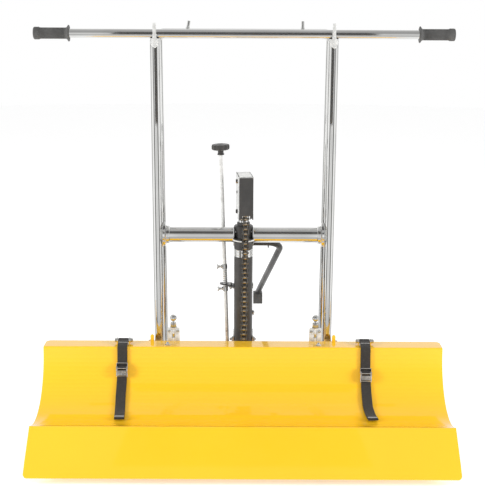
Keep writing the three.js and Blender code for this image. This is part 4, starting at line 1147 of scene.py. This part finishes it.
def stitch_row(x, place, count=7, pitch=3.3):
    """Thread lying in short strokes across the webbing."""
    stroke = ((-1.35, 0.15, -0.25), (-0.8, 0, 0.1), (0.8, 0, 0.1), (1.35, 0.15, -0.25))
    middles = [x + pitch * (i - (count - 1) / 2) for i in range(count)]
    return [swept([(at + dx, place.x + dy, place.y + dz) for dx, dy, dz in stroke], 0.65, 8)
            for at in middles]


def straps():
    width, thick = STRAP["width"], STRAP["thick"]

    def raised(point, height):
        return point + (TRAY_AXIS - point).normalized() * height

    for name, strap in STRAPS.items():
        points, drift = strap_path(strap)
        piece, length = ribbon(f"strap_{name}_webbing", points, drift, strap["x"], width, thick, WEBBING)
        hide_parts(f"strap_{name}")
        tail = len(points) - 4
        hem_line = [raised(point, thick * 0.9) for point in points[tail:]]
        hem = ribbon(f"strap_{name}_hem", hem_line, drift[tail:], strap["x"], width - 0.6, 1.6, HEM)[0]
        stitches = stitch_row(strap["x"], points[LOOP_STEPS + 2] + Vector((0, thick * 0.6)))
        for share in (0, 0.22, 0.44):
            line = points[tail + 1].lerp(points[tail + 2], share)
            stitches += stitch_row(strap["x"] + drift[tail + 1], raised(line, thick * 0.9 + 1.0))
        sewing = extra(f"strap_{name}_stitches", "carriage", stitches, THREAD)


def buckles():
    w, t = 14.3, 1.6
    inner = w - t - GAP
    cheek = [(3, -15), (3, 17), (-3.4, 18.6), (-5.4, 16.5), (-6, 10), (-9, 8), (-9.4, -1), (-8, -5),
             (-3.4, -12), (-3, -16)]
    body = [prism(cheek, *beside(end, w - t, w), "x") for end in ENDS]
    body += [block((-w, w), (1.5, 3), (-18, 18)), level(rod, -w, w, -2.8, 17, 1.1, 24),
             level(rod, -w, w, -2.6, -15.4, 1.5, 24)]
    body += [level(rod, end * (w - 0.2), end * (w + 0.9), -5, 6, 3, 28, 0.4) for end in ENDS]
    arm = [(-4, 9), (-8.6, 7.6), (-9.4, 4), (-9, -4), (-9.6, -10), (-8.2, -10), (-6.6, -4), (-3, 3)]
    plate = [(-8.4, -2.4), (-6.6, -2.4), (-7, -9), (-8, -12.4), (-9, -14), (-10.6, -13.8), (-10.6, -12.2),
             (-9, -9)]
    lever = [prism(arm, *beside(end, inner - 1.7, inner), "x") for end in ENDS]
    lever += [prism(plate, -inner, inner, "x"), level(rod, -inner, inner, -8.8, 2.8, 1.4, 24),
              level(rod, -inner, inner, -9.8, -13.2, 1.3, 20)]
    lever += [level(rod, 1 - inner, inner - 1, -8.9 - 0.1 * i, dz, 0.75, 14)
              for i, dz in enumerate((-3.4, -6.2, -9))]
    cam = [(0, 2 - inner), (3, 2 - inner, 0.8), (3, inner - 2, 0.8), (0, inner - 2)]
    for name, strap in STRAPS.items():
        mid = (strap["top"] + strap["foot"]) / 2
        half_turn = math.radians((strap["foot"] - strap["top"]) / 2)
        at = Vector((strap["x"], *trough(STRAP["reach"] * math.cos(half_turn), mid)))
        place = Matrix.Translation(at) @ Matrix.Rotation(-math.radians(mid), 4, "X")
        stand_in(f"buckle_{name}", body, CHROME, place, bevel=0.5)
        stand_in(f"buckle_lever_{name}", lever, SILVER, place, bevel=0.35)
        grip = lathe(cam, (0, -5, 6), X, 72, flutes=12)
        extra(f"buckle_cam_{name}", f"buckle_lever_{name}", [grip], BLACK, place)


# ---- Carriage ----

def latch(name, side):
    """A barrel bolt: two screwed flanges, bands over the stem, a nut on top and a ball to pull."""
    x, y = side * LATCH["x"] + LATCH["shift"], LATCH["y"]
    foot, top, nut = LATCH["foot"], LATCH["top"], LATCH["nut"]
    y0, y1 = -35.3, -32.3
    shells = [rounded_plate(beside(end, 2.8, 16, x), (foot, top), (y0, y1), 3.2) for end in ENDS]
    shells.append(upright(pipe, x, y, top - 3.4, nut + 4, 6, 2.6, 40))
    for z in (foot + 4, (foot + top) / 2 - 6, top - 16):
        shells.append(block((x - 4.4, x + 4.4), (-38.9, -37.3), (z, z + 12)))
        shells += [block(beside(end, 2.7, 5.6, x), (-38.9, y0 + 0.2), (z, z + 12)) for end in ENDS]
    stand_in(f"latch_plate_{name}", shells, WHITE_ZINC, bevel=0.5)
    screws = [cap_screw((x + dx, y0, z), -Y, 3.6, 2.8) for dx in (-10.8, 10.8) for z in (foot + 9, top - 9)]
    screws += [upright(hexagon, x, y, nut + 0.2, nut + 11, 15),
               upright(pipe, x, y, nut - 2.6, nut, 8.8, 2.6, 40)]
    extra(f"latch_screws_{name}", "carriage", screws, ZINC, bevel=0.6)
    r, z = LATCH["ball"], LATCH["ball_z"]
    pin = [(0, foot + 2), (1.6, foot + 2), (2.2, foot + 3), (2.2, z - r), (3.6, z - r + 0.4),
           (5, z - r + 1.4)]
    pin += arc((0, z), r, -54, 81, 15) + [(0, z + r)]
    stand_in(f"latch_pin_{name}", [lathe(pin, (x, y, 0), Z, 40)], CHROME)


def guide_roller(name, side, roller, y, z):
    """A waisted roller that fits the mast's tube."""
    node = f"guide_roller_{roller}_{name}"
    low, high = span(node)
    half = (high.x - low.x) / 2
    stations = [half * (i / 8 - 1) for i in range(17)]
    waist = [(abs(y) - math.sqrt(MAST["radius"] ** 2 - u ** 2) - GAP, u) for u in stations]
    profile = [(4.1, -half), (7, -half), *waist, (7, half), (4.1, half), (4.1, -half)]
    # The rollers' orange is partly their own tint and partly a painted reflection of the yellow tray.
    stand_in(node, [lathe(profile, (side * MAST["x"], y, z), X, 64)], ROLLER_TINT_AND_REFLECTION)


def carriage():
    plate = [(-80, 132), (-80, 228), (-77, 231.5), (-39, 231.5), (-36, 238), (-33, 240), (-12, 240),
             (-8.6, 237.6), (34, 132), (34, 101), (31, 98), (13, 98), (9, 99.6), (-40, 126)]
    ear = [(160, 130), (239, 130), (239, 203), (236, 206), (163, 206)]
    for name, side in SIDES.items():
        x = side * LATCH["x"] + LATCH["shift"]
        shells = [prism(plate, *beside(side, 234, 239), "x"),
                  prism([(side * a, z) for a, z in ear], -32, -29, "y"),
                  rounded_plate((x - 13, x + 13), (200, 262), (-32, -29), 3),
                  rounded_plate(beside(side, 230.8, 239.8), (196, 251), (-36.5, -32.5), 4.4)]
        shells += [level(rod, *beside(side, MAST["x"] - 10.5, 243), *at, 4) for at in ROLLERS.values()]
        stand_in(f"carriage_bracket_{name}", shells, YELLOW, bevel=0.7)
        nuts = []
        for at in ROLLERS.values():
            nuts += [level(rod, side * 239, side * 240.4, *at, 8, 40, 0.3),
                     level(hexagon, side * 240.4, side * 245.4, *at, 12)]
        extra(f"axle_nuts_{name}", "carriage", nuts, ZINC)
        for roller, at in ROLLERS.items():
            guide_roller(name, side, roller, *at)
        latch(name, side)
    low, high = span("carriage_beam")
    lug = mirrored([(6, 156), (6, 179), (3, 182)], CHAIN_Y)
    shells = [block((low.x, high.x), (-57.3, -32.3), (130, 170)), prism(lug, -8, -6, "x"),
              prism(lug, 8, 10, "x"), block((-8, 10), (-36, CHAIN_Y + 6), (156, 168)),
              level(rod, -10, 12, CHAIN_Y, 176, 2.4, 24)]
    stand_in("carriage_beam", shells, YELLOW, bevel=1.2)


for make in (masts, rear_hoop, handlebar, cross_tube, side_rails, base_crossbar, wheels, caster_forks,
             column, barrel_clamp, head_case, chains, sprocket, foot_pump, foot_pedal, release_rod,
             release_spring, rod_bracket, tray, straps, buckles, carriage):
    make()


# ---- Studio ----

def floor():
    look = Look("pale_floor", "", (0.9, 0.9, 0.9), 0.8)
    look.colour(look.mix(look.noise(4.0, 3.0), (0.91, 0.91, 0.91), (0.89, 0.89, 0.89)))
    look.set("Specular IOR Level", 0.1)
    look.set("Emission Color", (1, 1, 1, 1))
    look.set("Emission Strength", 0.38)
    rim = [(x, y, cad_box[0].z / MM - 0.5) for x, y in arc((0, -MAST_PLANE / MM), 9000, 0, 356.25, 95)]
    ground = build("floor", [(rim, [tuple(range(len(rim)))])], look.material)
    ground.visible_glossy = False


def dark_card():
    """A flag in front of the push bar, seen only in reflections: the dark streak along polished tube."""
    look = Look("dark_flag", "", (0.1, 0.1, 0.1), 0.9)
    look.colour(look.mix(look.noise(20.0, 2.0), (0.1, 0.1, 0.1), (0.12, 0.12, 0.12)))
    corners = [(-400, -600, 780), (400, -600, 780), (400, -600, 1550), (-400, -600, 1550)]
    card = build("dark_card", [(corners, [(0, 1, 2, 3)])], look.material)
    card.visible_camera = card.visible_diffuse = card.visible_shadow = False


# The studio that polished metal reflects, as (position, brightness) stops. FRONT and BACK run from straight
# down to straight up, STANDS once round; STANDS_SHARE says at which heights the stands cover the walls.
FRONT = ((0.0, 0.95), (0.18, 0.85), (0.25, 0.5), (0.356, 0.47), (0.4, 0.68), (0.5, 0.6), (0.528, 0.53),
         (0.61, 0.42), (0.7, 0.36), (0.789, 0.36), (0.883, 0.42), (0.944, 0.42), (1.0, 0.45))
BACK = ((0.0, 0.95), (0.45, 0.96), (0.6, 1.0), (0.7, 0.95), (0.761, 0.64), (0.9, 0.55), (1.0, 0.42))
STANDS = ((0.0, 1.0), (0.13, 1.0), (0.16, 0.26), (0.20, 0.33), (0.23, 1.0), (0.34, 0.98), (0.37, 0.22),
          (0.405, 0.10), (0.43, 0.7), (0.45, 1.0), (0.475, 0.66), (0.525, 0.66), (0.55, 1.0), (0.585, 0.36),
          (0.605, 0.12), (0.64, 0.3), (0.665, 1.0), (0.77, 0.95), (0.80, 0.15), (0.83, 0.37), (0.86, 1.0),
          (1.0, 1.0))
STANDS_SHARE = ((0.0, 0.0), (0.36, 0.0), (0.40, 1.0), (0.50, 1.0), (0.62, 0.0), (1.0, 0.0))


def world():
    """White to the eye; in reflections a studio with grey walls, a dark horizon and dark stands round it."""
    made = bpy.data.worlds.new("studio")
    bpy.context.scene.world = made
    made.use_nodes = True
    tree = made.node_tree
    tree.nodes.clear()
    links = tree.links

    def maths(kind, a, b=0.0):
        node = tree.nodes.new("ShaderNodeMath")
        node.operation = kind
        for socket, value in zip(node.inputs, (a, b)):
            if isinstance(value, (int, float)):
                socket.default_value = value
            else:
                links.new(value, socket)
        return node.outputs["Value"]

    def ramp(source, stops):
        node = tree.nodes.new("ShaderNodeValToRGB")
        elements = node.color_ramp.elements
        for k, (place, level) in enumerate(stops):
            stop = elements[k] if k < 2 else elements.new(place)
            stop.position = place
            stop.color = (level, level, level, 1)
        links.new(source, node.inputs["Fac"])
        return node.outputs["Color"]

    def blend(share, first, second):
        node = tree.nodes.new("ShaderNodeMix")
        node.data_type = "RGBA"
        links.new(share, node.inputs["Factor"])
        for source, socket in zip((first, second), (s for s in node.inputs if s.type == "RGBA")):
            links.new(source, socket)
        return next(s for s in node.outputs if s.type == "RGBA")

    direction = tree.nodes.new("ShaderNodeTexCoord").outputs["Generated"]
    parts = tree.nodes.new("ShaderNodeSeparateXYZ")
    links.new(direction, parts.inputs["Vector"])
    x, y, z = (parts.outputs[k] for k in "XYZ")
    elevation = maths("ADD", maths("DIVIDE", maths("ARCSINE", z), math.pi), 0.5)
    around = maths("ARCTAN2", x, maths("MULTIPLY", y, -1.0))
    azimuth = maths("ADD", maths("DIVIDE", around, 2 * math.pi), 0.5)
    facing = ramp(maths("ADD", maths("MULTIPLY", y, 0.5), 0.5), ((0.44, 0.0), (0.56, 1.0)))
    walls = blend(facing, ramp(elevation, FRONT), ramp(elevation, BACK))
    studio = tree.nodes.new("ShaderNodeBackground")
    links.new(blend(ramp(elevation, STANDS_SHARE), walls, ramp(azimuth, STANDS)), studio.inputs["Color"])
    plain = tree.nodes.new("ShaderNodeBackground")
    plain.inputs["Color"].default_value = (1, 1, 1, 1)
    rays = tree.nodes.new("ShaderNodeLightPath")
    strength = maths("ADD", maths("MULTIPLY", rays.outputs["Is Camera Ray"], 0.34), 0.66)
    links.new(strength, plain.inputs["Strength"])
    chosen = tree.nodes.new("ShaderNodeMixShader")
    links.new(rays.outputs["Is Glossy Ray"], chosen.inputs["Fac"])
    links.new(plain.outputs["Background"], chosen.inputs[1])
    links.new(studio.outputs["Background"], chosen.inputs[2])
    out = tree.nodes.new("ShaderNodeOutputWorld")
    links.new(chosen.outputs["Shader"], out.inputs["Surface"])


def lamp(name, place, target, size, power):
    data = bpy.data.lights.new(name, "AREA")
    data.shape = "RECTANGLE"
    data.size, data.size_y = size
    data.energy = power
    made = bpy.data.objects.new(name, data)
    bpy.context.collection.objects.link(made)
    made.location = place
    made.rotation_euler = (Vector(target) - Vector(place)).to_track_quat("-Z", "Y").to_euler()
    made.visible_glossy = False


def camera():
    """The photo's camera: a long lens at chest height, tilted down."""
    distance, height, tilt, roll = 2.564, 1.084, 76.5, 0.25
    made = bpy.data.objects.new("camera", bpy.data.cameras.new("camera"))
    bpy.context.collection.objects.link(made)
    made.data.lens = 73.73
    made.data.shift_x = -0.0018
    made.rotation_mode = "QUATERNION"
    aim = Matrix.Rotation(math.radians(tilt), 4, "X") @ Matrix.Rotation(math.radians(roll), 4, "Z")
    made.rotation_quaternion = aim.to_quaternion()
    made.location = (0, MAST_PLANE - distance, height)
    bpy.context.scene.camera = made


floor()
world()
dark_card()
for name, side in SIDES.items():
    lamp(f"softbox_{name}", (side * 3.1, -1.4, 1.25), (0, 0, 0.35), (0.9, 1.3), 85)
bpy.context.scene.view_settings.view_transform = "Standard"
camera()
